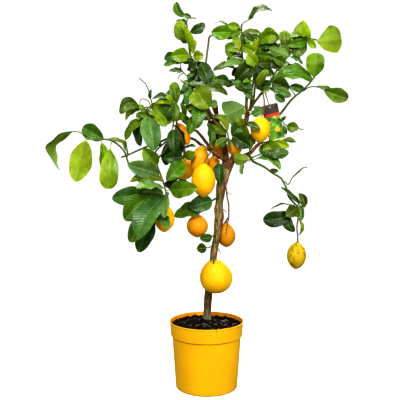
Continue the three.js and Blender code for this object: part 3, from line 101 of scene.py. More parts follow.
limbs = {
    "leader": {"wood": [
        [[44, 556, 2, 10], [49, 590, 6, 9], [49, 620, 10, 8], [41, 655, 10, 7], [31, 690, 6, 6],
         [26, 714, 2, 5.2], [25, 741, 0, 5]],
        [[48, 606, 6, 2], [43, 607, -8, 1.7], [39, 602, -18, 1.4]],
    ], "leaves": [
        ["dark", 32, 588, 36, 534, 31, -8, 0, 0.4],
    ]},
    "right_limb": {"wood": [
        [[49, 560, 2, 11], [60, 585, 6, 10.5], [74, 612, 16, 8], [90, 648, 26, 6.5],
         [102, 690, 29, 5.6], [108, 724, 26, 5]],
    ], "leaves": []},
    "left_limb": {"wood": [
        [[48, 597, 0, 6.5], [38, 606, -12, 6], [28, 613, -20, 5.4], [15, 622, -26, 4.8],
         [-2, 645, -34, 4], [-22, 670, -42, 3.4], [-36, 679, -46, 3.2], [-60, 701, -46, 3],
         [-95, 717, -46, 2.8], [-125, 728, -42, 2.4]],
        [[-80, 711, -47, 2], [-86, 696, -52, 1.8], [-88, 680, -55, 1.5]],
        [[-44, 686, -46, 2], [-34, 704, -54, 1.8], [-24, 722, -60, 1.5]],
    ], "leaves": [
        ["dark", -88, 677, -85, 618, 34, -14], ["mid", -34, 712, -44, 664, 26, -16],
        ["mid", -20, 728, -26, 680, 28, -10], ["shade", -87, 690, -58, 636, 12, -8],
        ["lime", -56, 700, -76, 724, 17, -10], ["dark", -42, 686, -62, 714, 20, 10],
        ["shade", -26, 716, -54, 744, 19, -8], ["mid", -62, 704, -66, 748, 14, 12],
    ]},
    "low_left_limb": {"wood": [
        [[26, 617, -18, 4.4], [12, 622, -2, 4.2], [0, 628, 14, 4], [-14, 637, 28, 3.8],
         [-31, 651, 34, 3.4], [-55, 657, 30, 3.2], [-93, 656, 8, 3], [-117, 647, -6, 2.8],
         [-160, 631, -18, 2.4], [-205, 611, -24, 2.2], [-222, 605, -26, 2]],
    ], "leaves": [
        ["spring", 4, 630, -18, 610, 12, -6], ["shade", -96, 648, -106, 584, 30, 12],
        ["shade", -58, 650, -92, 602, 32, 10],
    ]},
    "low_right_limb": {"wood": [
        [[66, 592, 6, 7], [85, 603, -6, 5.6], [113, 616, -16, 4.8], [127, 631, -20, 4.4],
         [141, 645, -16, 4], [158, 675, 4, 3.4], [178, 703, 12, 3.2], [197, 724, 10, 3],
         [215, 748, 5, 2.6], [232, 765, 0, 2.4], [250, 779, -6, 2.2], [268, 798, -10, 2],
         [279, 812, -12, 1.8]],
        [[249, 777, -4, 1.6], [254, 779, -10, 1.5], [262, 785, -16, 1.4], [276, 789, -22, 1.4],
         [292, 787, -27, 1.4], [303, 782, -30, 1.3]],
        [[277, 810, -12, 1.8], [282, 815, -14, 1.6]],
        [[230, 763, 0, 1.5], [229, 769, -2, 1.3], [222, 778, -4, 1.2], [215, 788, -4, 1.1]],
    ], "leaves": [
        ["lime", 279, 814, 285, 877, 50, -6, 0, 0.6], ["olive", 306, 780, 368, 757, 37, -14, 0.02, 0.6],
        ["olive", 282, 788, 336, 771, 9, -4, 0, 0.55], ["dark", 216, 790, 254, 782, 21, 4],
    ]},
    "drooping_branch": {"wood": [
        [[110, 612, -14, 3.6], [118, 598, -22, 3.2], [127, 591, -28, 2.8], [150, 580, -40, 2.5],
         [172, 564, -50, 2.4], [192, 552, -58, 2.3], [200, 541, -62, 2.2], [207, 526, -66, 2.1],
         [211, 511, -68, 2]],
        [[199, 543, -62, 1.5], [206, 540, -63, 1.3], [211, 534, -64, 1.2], [217, 540, -65, 1.2],
         [222, 551, -66, 1.2], [232, 561, -67, 1.7], [241, 569, -68, 2], [250, 577, -69, 1.4],
         [262, 580, -70, 1]],
    ], "leaves": [
        ["shade", 164, 571, 187, 569, 12, -6],
    ]},
    "front_limb": {"wood": [
        [[38, 662, 4, 4.6], [24, 690, -36, 4], [8, 722, -68, 3.4], [-10, 756, -90, 3],
         [-30, 785, -100, 2.4], [-42, 790, -102, 2], [-60, 800, -104, 1.6], [-68, 807, -104, 1.4]],
        [[-8, 753, -88, 1.8], [-8, 742, -94, 1.6], [-12, 736, -98, 1.4]],
        [[-6, 751, -88, 1.8], [5, 760, -92, 1.6], [12, 778, -92, 1.4], [15, 801, -90, 1.3]],
    ], "leaves": [
        ["olive", -30, 783, 7, 733, 60, -26], ["mid", -14, 742, -28, 684, 38, -20, 0, 0.45],
        ["shade", -14, 784, 56, 768, 24, 8, -0.04], ["ash", 4, 744, 28, 744, 21, 12, 0, 0.55],
        ["dark", 18, 808, 60, 796, 28, 14, -0.1], ["ash", -42, 788, -50, 738, 20, -4],
        ["ash", -58, 797, -57, 767, 14, 4], ["shade", -34, 787, -52, 748, 18, 22],
        ["spring", -12, 738, -54, 727, 15, 14], ["shade", -50, 796, 12, 789, 13, 10, 0.06],
        ["dark", -44, 790, -68, 768, 13, 6], ["shade", -20, 766, -66, 742, 17, 16],
    ]},
    "back_left_limb": {"wood": [
        [[43, 646, 14, 5], [30, 662, 52, 4.4], [8, 700, 100, 3.8], [-12, 736, 140, 3],
         [-18, 765, 170, 2.2]],
        [[-10, 733, 138, 2], [-24, 744, 158, 1.6]],
    ], "leaves": [
        ["dark", -6, 722, -36, 696, 32, 46], ["mid", -14, 742, -40, 752, 34, 44],
        ["mid", -12, 740, 6, 702, 28, 50], ["dark", -18, 752, -38, 776, 30, 40],
        ["lime", -12, 746, 8, 776, 28, 56], ["dark", -20, 746, -26, 712, 34, 60],
    ]},
    "back_right_limb": {"wood": [
        [[96, 668, 30, 5], [103, 710, 62, 4.4], [104, 742, 92, 3.8], [106, 772, 120, 3.2],
         [112, 806, 146, 2.8], [119, 842, 168, 2.4], [122, 872, 182, 2]],
        [[121, 862, 178, 1.8], [128, 880, 188, 1.5], [124, 900, 194, 1.3]],
    ], "leaves": [
        ["dark", 108, 800, 84, 816, 30, 40], ["mid", 116, 818, 150, 842, 30, 42],
        ["dark", 120, 850, 102, 846, 28, 44], ["mid", 122, 866, 152, 880, 28, 46],
        ["dark", 126, 882, 108, 912, 30, 40], ["lime", 124, 900, 102, 926, 28, 30],
        ["mid", 125, 900, 160, 925, 28, 40],
    ]},
    "back_low_limb": {"wood": [
        [[42, 558, 8, 5], [22, 566, 46, 4.2], [-10, 562, 88, 3.6], [-45, 560, 120, 2.8],
         [-78, 548, 146, 2.2]],
        [[-76, 549, 148, 1.8], [-92, 540, 164, 1.5]],
    ], "leaves": [
        ["dark", -26, 561, 8, 598, 34, 44], ["mid", -30, 558, -12, 512, 32, 40],
        ["dark", -52, 560, -90, 588, 34, 34], ["dark", -78, 548, -100, 524, 34, 36],
        ["mid", -70, 548, -48, 522, 28, 46],
    ]},
    "bare_shoot": {"wood": [
        [[27, 708, 4, 3.4], [14, 744, 8, 3.1], [3, 790, 10, 2.9], [-3, 830, 10, 2.6], [1, 872, 10, 2.4],
         [5, 902, 10, 2.3], [7, 917, 10, 2.3], [11, 921, 9, 2], [16, 922, 7, 1.4]],
    ], "leaves": []},
}

sprays = {
    "far_left_spray": {"wood": [
        [[-128, 592, -50, 2.2], [-165, 577, -56, 2.2], [-195, 573, -60, 2.1], [-205, 595, -62, 2.1],
         [-215, 622, -65, 2.1], [-240, 645, -70, 2.2], [-265, 652, -72, 2], [-285, 648, -74, 1.9],
         [-300, 652, -75, 1.8], [-311, 657, -76, 1.6]],
        [[-298, 651, -75, 1.4], [-318, 664, -76, 1.3], [-333, 671, -77, 1.2], [-346, 673, -78, 1.1]],
    ], "leaves": [
        ["lime", -348, 672, -384, 571, 24, -14, 0.2, 0.5, -1],
        ["spring", -314, 648, -340, 541, 58, -15, 0, 0.5, -1],
        ["dark", -268, 652, -322, 683, 42, 12, 0, 0.55], ["lime", -272, 642, -270, 571, 26, -14],
        ["lime", -251, 626, -255, 523, 50, -22, 0, 0.66], ["olive", -262, 652, -206, 600, 11, 24, -0.2],
    ]},
    "low_left_spray": {"wood": [
        [[-95, 655, 4, 2.6], [-108, 622, -22, 2.5], [-122, 607, -38, 2.4], [-130, 595, -48, 2.3],
         [-127, 580, -54, 2.2], [-120, 562, -60, 2.1], [-115, 548, -65, 2], [-108, 525, -70, 1.9],
         [-105, 508, -74, 1.8], [-111, 495, -78, 1.6]],
    ], "leaves": [
        ["ash", -152, 502, -246, 498, 48, -12, 0.05], ["mid", -150, 502, -213, 441, 62, -30, 0.04],
        ["ash", -112, 499, -182, 391, 58, -62, 0.06, 0.48],
        ["mid", -152, 462, -199, 384, 44, -34, 0, 0.55], ["dark", -140, 450, -177, 358, 45, -8],
        ["ash", -112, 507, -168, 514, 24, -48, 0, 0.5, -1],
        ["olive", -112, 545, -199, 543, 27, -26, 0.05, 0.45], ["ash", -112, 525, -183, 525, 22, -66],
        ["mid", -94, 520, -25, 525, 45, -52], ["ash", -100, 513, -110, 448, 26, -58],
        ["ash", -125, 455, -98, 421, 26, -50], ["dark", -112, 495, -145, 430, 40, 26],
        ["lime", -128, 585, -165, 628, 38, -24], ["ash", -122, 562, -206, 586, 44, -34],
    ]},
    "inner_left_spray": {"wood": [
        [[-56, 656, 26, 2.2], [-58, 632, 0, 2], [-59, 612, -16, 1.8], [-58, 594, -24, 1.6]],
    ], "leaves": [
        ["mid", -60, 592, -104, 545, 40, -34, 0, 0.45], ["dark", -60, 606, -113, 602, 32, -8],
        ["dark", -62, 624, -108, 592, 26, 10], ["olive", -57, 606, -29, 616, 25, -18],
        ["dark", -56, 630, -27, 634, 8, -6],
    ]},
    "upper_left_spray": {"wood": [
        [[-125, 728, -42, 2.4], [-150, 735, -36, 2], [-162, 734, -36, 1.8], [-172, 737, -36, 1.6]],
        [[-140, 732, -40, 1.6], [-143, 750, -40, 1.5], [-148, 765, -40, 1.4], [-151, 780, -40, 1.3],
         [-158, 795, -40, 1.2], [-166, 803, -40, 1.2], [-175, 811, -40, 1.1]],
        [[-146, 734, -38, 1.2], [-149, 748, -36, 1.1], [-160, 756, -34, 1.1], [-171, 755, -34, 1],
         [-174, 745, -35, 1]],
    ], "leaves": [
        ["olive", -175, 738, -226, 721, 36, -26, 0.28, 0.55],
        ["lime", -172, 731, -211, 700, 18, -6, 0.12, 0.4, -1], ["olive", -172, 742, -168, 721, 13, -22],
        ["olive", -150, 718, -183, 717, 17, -16, -0.05], ["lime", -176, 722, -178, 702, 13, -14],
        ["lime", -136, 723, -105, 687, 27, -30, 0, 0.6], ["olive", -152, 724, -134, 710, 13, -26],
        ["dark", -138, 726, -136, 683, 26, 24], ["dark", -146, 757, -143, 783, 9, 0, 0, 0.4],
        ["ash", -151, 716, -136, 622, 52, -26], ["ash", -160, 722, -175, 634, 26, 18, 0, 0.6],
        ["olive", -162, 706, -212, 650, 22, 2, 0, 0.45], ["shade", -152, 732, -162, 706, 14, -8],
    ]},
    "left_crest_spray": {"wood": [
        [[-95, 719, -46, 2], [-90, 732, -52, 1.8], [-86, 744, -56, 1.5]],
    ], "leaves": [
        ["shade", -90, 746, -142, 757, 15, -2, 0.14], ["lime", -92, 742, -133, 747, 15, -14, 0.1],
        ["lime", -94, 733, -147, 738, 27, 20], ["olive", -86, 750, -136, 757, 12, 26, 0.1],
        ["olive", -82, 746, -80, 698, 23, -14], ["mid", -78, 744, -85, 801, 29, 2, 0, 0.62],
        ["dark", -94, 738, -112, 700, 40, 8], ["spring", -86, 744, -106, 764, 16, -8],
        ["spring", -90, 736, -106, 690, 22, 12, -0.14],
    ]},
    "top_left_spray": {"wood": [
        [[26, 709, 2, 4], [13, 716, -6, 3.6], [3, 736, -10, 3.4], [-9, 770, -14, 3.2],
         [-18, 800, -17, 3], [-26, 830, -20, 2.8], [-32, 852, -24, 2.6], [-42, 870, -28, 2.6],
         [-46, 900, -30, 2.2], [-50, 940, -32, 1.8], [-51, 962, -32, 1.5], [-43, 967, -32, 1.4],
         [-27, 967, -30, 1.4]],
        [[-27, 832, -20, 1.5], [-50, 818, -17, 1.3], [-60, 826, -14, 1.2], [-67, 836, -14, 1.1],
         [-67, 850, -16, 1]],
        [[-59, 825, -14, 1.1], [-70, 818, -12, 1], [-73, 808, -10, 1]],
    ], "leaves": [
        ["dark", -52, 969, -80, 1008, 22, 0, -0.2, 0.6],
        ["lime", -47, 905, -73, 961, 37, -12, -0.12, 0.55], ["lime", -42, 876, -64, 950, 17, -22],
        ["dark", -50, 948, -80, 959, 11, 8, 0.1], ["dark", -42, 930, -4, 952, 25, -8, 0.06, 0.55],
        ["olive", -48, 904, -67, 913, 15, 6], ["lime", -36, 876, -30, 912, 20, 8, -0.1],
        ["ash", -70, 868, -110, 860, 22, 18, 0.1], ["lime", -46, 868, -93, 868, 37, -18, 0.06],
        ["lime", -34, 868, -7, 870, 27, -14], ["mid", -54, 861, -90, 852, 18, -10],
        ["ash", -80, 855, -111, 844, 15, 2], ["shade", -33, 858, -41, 826, 24, -6],
        ["dark", -62, 828, -98, 829, 13, 0, 0, 0.4], ["ash", -30, 828, -51, 810, 13, -6],
        ["dark", -14, 852, 8, 797, 38, -22, 0, 0.55], ["ash", -24, 826, -46, 796, 24, 4],
        ["shade", -28, 846, -50, 831, 18, -12], ["shade", -20, 812, -4, 786, 20, 10],
        ["shade", -22, 828, -32, 790, 22, 8], ["mid", -14, 838, 25, 797, 26, -10, 0, 0.55],
        ["ash", -40, 967, -64, 974, 13, -4, 0.1, 0.45], ["dark", -36, 860, -62, 851, 15, 6],
        ["mid", -14, 782, -62, 802, 15, 10], ["dark", -16, 796, 15, 787, 13, 14],
        ["shade", -30, 850, -6, 842, 18, 14],
    ]},
    "centre_spray": {"wood": [
        [[29, 703, 0, 2.4], [18, 707, -20, 2.2], [8, 704, -34, 2], [4, 692, -42, 1.8]],
    ], "leaves": [
        ["olive", 10, 710, 55, 672, 20, -14, -0.18], ["olive", 8, 698, 50, 664, 27, 6, 0, 0.45],
        ["dark", 2, 692, 9, 638, 19, -10, -0.06], ["spring", 6, 690, 16, 626, 18, 8, 0.06],
    ]},
    "low_centre_spray": {"wood": [
        [[36, 680, 4, 2.2], [42, 682, -16, 2], [54, 668, -28, 1.8], [57, 655, -34, 1.6]],
    ], "leaves": [
        ["dark", 56, 655, 27, 637, 24, -24, 0, 0.5, -1], ["shade", 24, 682, 46, 648, 34, -6],
        ["olive", 57, 654, 63, 622, 14, -8],
    ]},
    "heart_spray": {"wood": [
        [[93, 652, 22, 2.4], [86, 660, -6, 2.2], [78, 668, -28, 2], [66, 662, -40, 1.8]],
    ], "leaves": [
        ["dark", 68, 660, 114, 632, 38, -14, 0, 0.45], ["lime", 92, 668, 126, 640, 26, 8],
    ]},
    "upper_heart_spray": {"wood": [
        [[104, 702, 24, 2.2], [98, 700, -2, 2], [92, 690, -20, 1.8]],
        [[97, 699, -6, 1.8], [98, 704, -36, 1.6], [104, 700, -66, 1.4]],
    ], "leaves": [
        ["lime", 92, 684, 82, 710, 24, -12], ["dark", 92, 692, 66, 662, 34, -4],
        ["shade", 105, 695, 139, 675, 18, -20], ["lime", 94, 690, 103, 650, 26, 10],
    ]},
    "broad_leaf_spray": {"wood": [
        [[106, 728, 22, 2], [102, 736, 8, 1.8], [100, 738, -6, 1.5]],
    ], "leaves": [
        ["ash", 99, 737, 48, 714, 68, -34, 0, 0.6, -1], ["spring", 101, 730, 96, 716, 8, -6],
    ]},
    "top_centre_spray": {"wood": [
        [[106, 722, 20, 4], [103, 740, 16, 3.4], [104, 770, 12, 3.2], [100, 800, 6, 3],
         [96, 840, 0, 2.8], [92, 880, -6, 2.5], [91, 915, -10, 2.2], [91, 951, -12, 1.8]],
        [[91, 942, -12, 1.4], [95, 955, -12, 1.3], [101, 958, -12, 1.2], [109, 962, -12, 1.1]],
    ], "leaves": [
        ["mid", 64, 930, 13, 930, 38, -20, 0, 0.55], ["lime", 86, 944, 54, 948, 20, -4],
        ["dark", 56, 943, 20, 953, 5, 12, 0.14], ["mid", 88, 930, 45, 920, 26, 6],
        ["dark", 90, 935, 60, 940, 20, 18], ["mid", 68, 904, 57, 866, 25, -8, 0.1],
        ["olive", 72, 922, 86, 884, 20, -14], ["lime", 99, 880, 60, 881, 12, -18],
        ["lime", 62, 880, 72, 852, 14, -8], ["olive", 92, 862, 60, 879, 13, 12],
        ["ash", 98, 853, 46, 845, 21, -20], ["shade", 76, 836, 17, 829, 16, -6, 0.1],
        ["shade", 109, 962, 170, 988, 18, 0, -0.14, 0.62], ["lime", 110, 963, 121, 979, 12, 4],
        ["dark", 92, 926, 96, 896, 14, 4], ["shade", 92, 906, 106, 884, 16, 8],
        ["shade", 99, 800, 50, 790, 18, 12], ["shade", 92, 930, 122, 908, 15, 8],
        ["shade", 96, 842, 66, 818, 20, 14], ["dark", 92, 868, 52, 858, 12, 8, 0.1],
    ]},
    "inner_right_spray": {"wood": [
        [[111, 727, 22, 3.2], [121, 750, 6, 2.8], [125, 780, -8, 2.6], [126, 800, -14, 2.4],
         [123, 828, -20, 2], [118, 850, -24, 1.8], [122, 868, -26, 1.5]],
    ], "leaves": [
        ["shade", 120, 848, 76, 803, 46, 10], ["ash", 120, 782, 68, 800, 22, -10, 0.06, 0.45],
        ["ash", 121, 774, 74, 792, 20, -24, -0.1, 0.45, -1], ["mid", 119, 803, 94, 800, 13, -22],
        ["lime", 130, 846, 106, 872, 34, -14, 0, 0.55], ["lime", 124, 880, 92, 893, 26, -4],
        ["olive", 131, 788, 161, 832, 23, -24, 0, 0.6], ["dark", 133, 784, 168, 802, 22, 6],
        ["dark", 128, 826, 150, 842, 34, 20], ["shade", 128, 850, 168, 850, 28, 24],
        ["shade", 126, 802, 152, 782, 22, 8], ["ash", 122, 756, 96, 776, 15, -6],
        ["dark", 124, 818, 104, 832, 20, 16],
    ]},
    "crest_spray": {"wood": [
        [[111, 726, 32, 3.2], [115, 742, 36, 3], [117, 770, 40, 2.8], [122, 805, 42, 2.6],
         [128, 850, 42, 2.5], [132, 875, 40, 2.4], [138, 905, 36, 2], [148, 920, 34, 1.6]],
    ], "leaves": [
        ["shade", 136, 920, 103, 913, 16, -12], ["olive", 140, 928, 97, 932, 16, 10, -0.06],
        ["lime", 144, 910, 190, 918, 42, -24, -0.18], ["mid", 142, 888, 188, 895, 22, -14, -0.16],
        ["spring", 132, 882, 134, 916, 11, -14], ["shade", 128, 848, 152, 868, 20, 12],
        ["spring", 132, 876, 116, 906, 16, 12], ["dark", 122, 806, 148, 826, 24, 16],
        ["shade", 136, 896, 168, 884, 20, 10],
    ]},
    "upper_right_spray": {"wood": [
        [[112, 727, 28, 3.6], [129, 754, 20, 3.2], [151, 781, 12, 3], [166, 801, 6, 2.8],
         [181, 828, 2, 2.6], [205, 862, 0, 2.4], [232, 888, -2, 2.2], [262, 912, -5, 2],
         [288, 910, -8, 1.8]],
        [[167, 803, 6, 1.2], [168, 836, 12, 1.1], [178, 838, 14, 1], [184, 828, 14, 0.9]],
    ], "leaves": [
        ["lime", 262, 908, 252, 961, 45, -8, -0.22, 0.42], ["mid", 262, 906, 212, 896, 25, -14],
        ["olive", 260, 898, 224, 871, 33, -2, 0, 0.55], ["lime", 266, 910, 285, 888, 19, -18],
        ["spring", 288, 905, 351, 914, 70, -24, 0, 0.64, -1],
        ["ash", 213, 868, 162, 888, 27, -20, 0, 0.45, -1], ["lime", 212, 874, 197, 906, 27, 10],
        ["olive", 178, 862, 134, 872, 21, 14], ["olive", 204, 850, 174, 864, 25, -12],
        ["olive", 206, 896, 200, 935, 30, 6, 0, 0.55], ["ash", 218, 866, 251, 848, 11, 0, 0, 0.4],
        ["mid", 168, 801, 276, 806, 37, -14, -0.12, 0.6], ["olive", 228, 888, 192, 912, 24, 10],
        ["mid", 240, 896, 222, 930, 26, 14], ["shade", 196, 852, 172, 846, 22, 10],
        ["shade", 208, 864, 216, 890, 20, 16], ["olive", 264, 912, 240, 934, 22, 18],
        ["olive", 263, 916, 222, 919, 9, -22, 0.03], ["ash", 184, 832, 214, 852, 16, 12],
    ]},
    "right_heart_spray": {"wood": [
        [[152, 784, 14, 2], [162, 786, -8, 1.8], [172, 784, -22, 1.6], [178, 772, -28, 1.4]],
    ], "leaves": [
        ["shade", 170, 798, 216, 784, 40, 0, 0, 0.45], ["ash", 176, 784, 220, 764, 24, 8],
        ["dark", 178, 768, 203, 750, 21, 0], ["dark", 150, 804, 130, 812, 20, 20],
        ["ash", 164, 782, 200, 774, 13, -10], ["olive", 164, 784, 140, 778, 18, 6],
    ]},
    "label_side_spray": {"wood": [
        [[180, 706, 8, 2], [190, 704, -4, 1.8], [198, 698, -10, 1.5], [205, 690, -14, 1.3],
         [226, 683, -16, 1.2], [252, 677, -18, 1.1]],
    ], "leaves": [
        ["olive", 209, 685, 240, 681, 27, -8, 0, 0.45], ["dark", 200, 688, 206, 664, 11, 4],
        ["dark", 194, 701, 207, 711, 9, -4],
    ]},
    "lower_right_spray": {"wood": [
        [[141, 641, -16, 2], [152, 644, -22, 1.8], [170, 646, -28, 1.6], [196, 650, -32, 1.2]],
    ], "leaves": [
        ["lime", 152, 644, 192, 602, 44, -14, 0, 0.45], ["lime", 146, 640, 152, 610, 26, 4],
        ["spring", 178, 646, 215, 632, 22, -12], ["ash", 198, 650, 233, 645, 13, 0, 0, 0.45, -1],
    ]},
    "middle_right_spray": {"wood": [
        [[114, 607, -19, 2], [116, 604, -26, 1.8], [128, 608, -30, 1.6], [141, 614, -34, 1.5]],
        [[116, 604, -26, 1.6], [113, 599, -31, 1.4], [111, 595, -35, 1.3]],
    ], "leaves": [
        ["dark", 142, 614, 214, 617, 28, -10, 0.08, 0.55],
        ["ash", 124, 598, 193, 574, 19, -18, -0.16, 0.6],
        ["olive", 110, 600, 70, 610, 32, -22, -0.12, 0.45, -1], ["ash", 96, 592, 92, 560, 11, -10],
        ["olive", 112, 622, 121, 640, 8, 4],
    ]},
    "pale_leaf_spray": {"wood": [
        [[108, 712, 26, 2], [112, 716, 4, 1.8], [116, 718, -14, 1.5]],
    ], "leaves": [
        ["ash", 118, 717, 147, 727, 21, -20], ["dark", 122, 736, 152, 718, 15, 2],
    ]},
    "drooping_spray": {"wood": [
        [[210, 514, -67, 2], [214, 502, -70, 2], [226, 488, -72, 2], [238, 474, -74, 1.9],
         [239, 455, -76, 1.7], [236, 432, -78, 1.6]],
        [[236, 477, -74, 1.5], [244, 492, -74, 1.4], [245, 504, -74, 1.3]],
    ], "leaves": [
        ["dark", 242, 485, 193, 527, 14, -8, -0.08], ["dark", 226, 480, 168, 471, 6, 6, 0.03, 0.7],
        ["shade", 241, 511, 254, 474, 21, -8, -0.14], ["ash", 243, 480, 243, 438, 17, -16, -0.16],
        ["dark", 222, 457, 147, 441, 42, -20, -0.05, 0.6], ["shade", 208, 454, 228, 411, 26, -14, 0.12],
        ["shade", 236, 474, 206, 452, 33, -30], ["olive", 239, 444, 240, 402, 10, -8, -0.1],
    ]},
    "trunk_pair": {"wood": [
        [[24, 401, -8, 1.8], [20, 402, -15, 1.6], [15, 400, -20, 1.4]],
    ], "leaves": [
        ["dark", 14, 399, -18, 394, 23, -12, -0.06],
    ]},
    "trunk_leaf": {"wood": [
        [[19, 379, -8, 1.6], [8, 371, -15, 1.3], [0, 370, -17, 1.2]],
    ], "leaves": [
        ["shade", -1, 370, -25, 366, 26, -10, 0, 0.55],
    ]},
    "hanging_pair": {"wood": [
        [[32, 500, -10, 1.9], [22, 496, -18, 1.7], [12, 490, -22, 1.5], [2, 482, -24, 1.4]],
    ], "leaves": [
        ["ash", 14, 492, -46, 476, 45, -24], ["mid", 0, 478, -84, 452, 38, -10],
    ]},
    "dangling_twig": {"wood": [
        [[46, 541, -11, 2.3], [51, 524, -17, 2.1], [54, 500, -18, 1.9], [57, 485, -18, 1.8],
         [58, 465, -14, 1.8], [57, 446, -8, 1.7], [54, 430, -8, 1.5], [49, 403, -7, 1]],
        [[54, 513, -18, 0.9], [66, 508, -20, 0.6]],
    ], "leaves": []},
    "back_crest_spray": {"wood": [
        [[-92, 716, -42, 2.2], [-100, 722, 4, 2], [-112, 724, 50, 1.8], [-118, 720, 92, 1.6],
         [-120, 714, 124, 1.4]],
    ], "leaves": [
        ["lime", -108, 726, -130, 745, 26, 40], ["dark", -113, 722, -138, 702, 30, 42],
        ["dark", -116, 720, -98, 698, 28, 50], ["mid", -119, 716, -140, 730, 26, 56],
        ["dark", -120, 714, -114, 690, 28, 50], ["dark", -98, 722, -86, 784, 26, 20, 0, 0.6],
    ]},
    "back_low_left_spray": {"wood": [
        [[-93, 656, 8, 2.4], [-112, 640, 54, 2.2], [-132, 620, 94, 2], [-142, 590, 120, 1.8],
         [-141, 560, 136, 1.6], [-138, 532, 142, 1.4]],
    ], "leaves": [
        ["mid", -118, 634, -150, 662, 30, 42], ["dark", -134, 616, -160, 600, 28, 44],
        ["dark", -140, 594, -176, 572, 32, 40], ["mid", -141, 570, -180, 546, 32, 44],
        ["dark", -138, 540, -170, 514, 30, 40], ["dark", -138, 532, -152, 480, 36, 30],
        ["mid", -138, 532, -122, 480, 30, 52],
    ]},
    "far_back_spray": {"wood": [
        [[153, 783, 14, 2.4], [168, 804, 54, 2.3], [182, 830, 90, 2.1], [196, 852, 120, 2],
         [216, 882, 142, 1.8], [236, 897, 152, 1.5]],
    ], "leaves": [
        ["dark", 169, 804, 206, 792, 34, 44], ["mid", 176, 820, 150, 832, 28, 42],
        ["dark", 186, 836, 160, 862, 30, 44], ["mid", 196, 852, 202, 878, 30, 42],
        ["dark", 206, 868, 182, 894, 32, 44], ["mid", 216, 882, 250, 886, 30, 40],
        ["lime", 222, 888, 206, 920, 32, 42], ["mid", 234, 896, 248, 932, 32, 34],
        ["dark", 184, 832, 246, 828, 28, 36],
    ]},
}

lemons = {
    "lemon_lower_left": {
        "centre": [-110, 447, -58], "width": 54, "length": 76, "lean": [0, 0, 1], "tone": "gold",
        "stalk": [[-110, 481, -62, 1.7], [-110, 495, -74, 1.6]]},
    "lemon_upper_left": {
        "centre": [-62, 666, -30], "width": 35, "length": 66, "lean": [-0.55, 0, 1], "tone": "amber",
        "stalk": [[-78, 690, -32, 1.7], [-78, 697, -40, 1.6], [-70, 706, -45, 1.6]]},
    "lemon_front": {
        "centre": [-8, 545, -52], "width": 62, "length": 93, "lean": [0.03, 0, 1], "tone": "bright",
        "stalk": [[-6, 588, -52, 2], [0, 604, -44, 1.9], [14, 622, -29, 1.8]]},
    "lemon_shaded": {
        "centre": [-18, 597, -2], "width": 45, "length": 82, "lean": [0.2, 0, 1], "tone": "deep",
        "stalk": [[-11, 633, -2, 1.8], [-9, 638, 10, 1.7], [-12, 638, 24, 1.6]]},
    "lemon_inner_left": {
        "centre": [-57, 576, 44], "width": 55, "length": 62, "lean": [0, 0, 1], "tone": "gold",
        "stalk": [[-57, 604, 44, 1.8], [-56, 630, 40, 1.7], [-55, 655, 32, 1.6]]},
    "lemon_behind": {
        "centre": [18, 588, 26], "width": 34, "length": 44, "lean": [0, 0, 1], "tone": "deep",
        "stalk": [[18, 607, 26, 1.6], [16, 615, 14, 1.5], [13, 620, 2, 1.4]]},
    "lemon_heart": {
        "centre": [31, 622, 44], "width": 36, "length": 46, "lean": [0, 0, 1], "tone": "deep",
        "stalk": [[31, 643, 44, 1.6], [32, 652, 44, 1.5], [34, 657, 44, 1.4]]},
    "lemon_centre": {
        "centre": [73, 632, -26], "width": 40, "length": 50, "lean": [0.05, 0, 1], "tone": "amber",
        "stalk": [[75, 655, -26, 1.6], [84, 660, -4, 1.5], [92, 657, 22, 1.5]]},
    "lemon_right": {
        "centre": [140, 677, -52], "width": 51, "length": 72, "lean": [0.06, 0, 1], "tone": "bright",
        "stalk": [[142, 710, -52, 2], [149, 730, -36, 1.8], [150, 752, -10, 1.7], [146, 774, 12, 1.6]]},
    "lemon_low": {
        "centre": [-24, 427, -16], "width": 55, "length": 63, "lean": [0, 0, 1], "tone": "amber",
        "stalk": [[-24, 456, -16, 1.9], [-14, 472, -14, 1.8], [6, 488, -8, 1.7], [32, 503, 0, 1.6]]},
    "lemon_beside_trunk": {
        "centre": [51, 404, 27], "width": 47, "length": 68, "lean": [-0.06, -0.1, 1], "taper": 0.14,
        "tone": "amber",
        "stalk": [[50, 435, 24, 2.1], [52, 442, 13, 1.8], [57, 449, -5, 1.5]]},
    "lemon_on_trunk": {
        "centre": [24, 297, -54], "width": 84, "length": 100, "lean": [-0.2, -0.35, 1], "taper": 0.16,
        "tone": "bright",
        "stalk": [[17, 328, -80, 1.9], [21, 342, -78, 1.8], [26, 360, -50, 1.7], [29, 375, -8, 1.7],
        [24, 382, 0, 1.7]]},
    "lemon_far_right": {
        "centre": [234, 349, -80], "width": 50, "length": 73, "lean": [0.07, 0, 1], "tone": "green",
        "scars": 0.15,
        "stalk": [[237, 382, -80, 1.9], [237, 400, -80, 1.6], [235, 418, -79, 1.5],
        [236, 436, -78, 1.4]]},
}


def toLinear(code):
    channels = [int(code[start:start + 2], 16) / 255 for start in (1, 3, 5)]
    return [c / 12.92 if c <= 0.04045 else ((c + 0.055) / 1.055) ** 2.4 for c in channels]


def rgba(code):
    return [*toLinear(code), 1.0]


# The scale that draws a pattern at a size in millimetres.
def drawnAt(size):
    return 1 / (size * millimetre)


# Starts a material, and ties the function that adds nodes to it.
def newMaterial(name):
    material = bpy.data.materials.new(name)
    material.use_nodes = True
    material.node_tree.nodes.clear()
    return material, functools.partial(addNode, material)


# Adds one node with its settings; an input is a value, or the node or socket that feeds it.
def addNode(owner, kind, inputs, **settings):
    node = owner.node_tree.nodes.new("ShaderNode" + kind)
    for name, value in settings.items():
        setattr(node, name, value)
    for socket, value in inputs.items():
        if isinstance(value, bpy.types.Node):
            value = value.outputs[0]
        if isinstance(value, bpy.types.NodeSocket):
            owner.node_tree.links.new(value, node.inputs[socket])
        else:
            node.inputs[socket].default_value = value
    return node


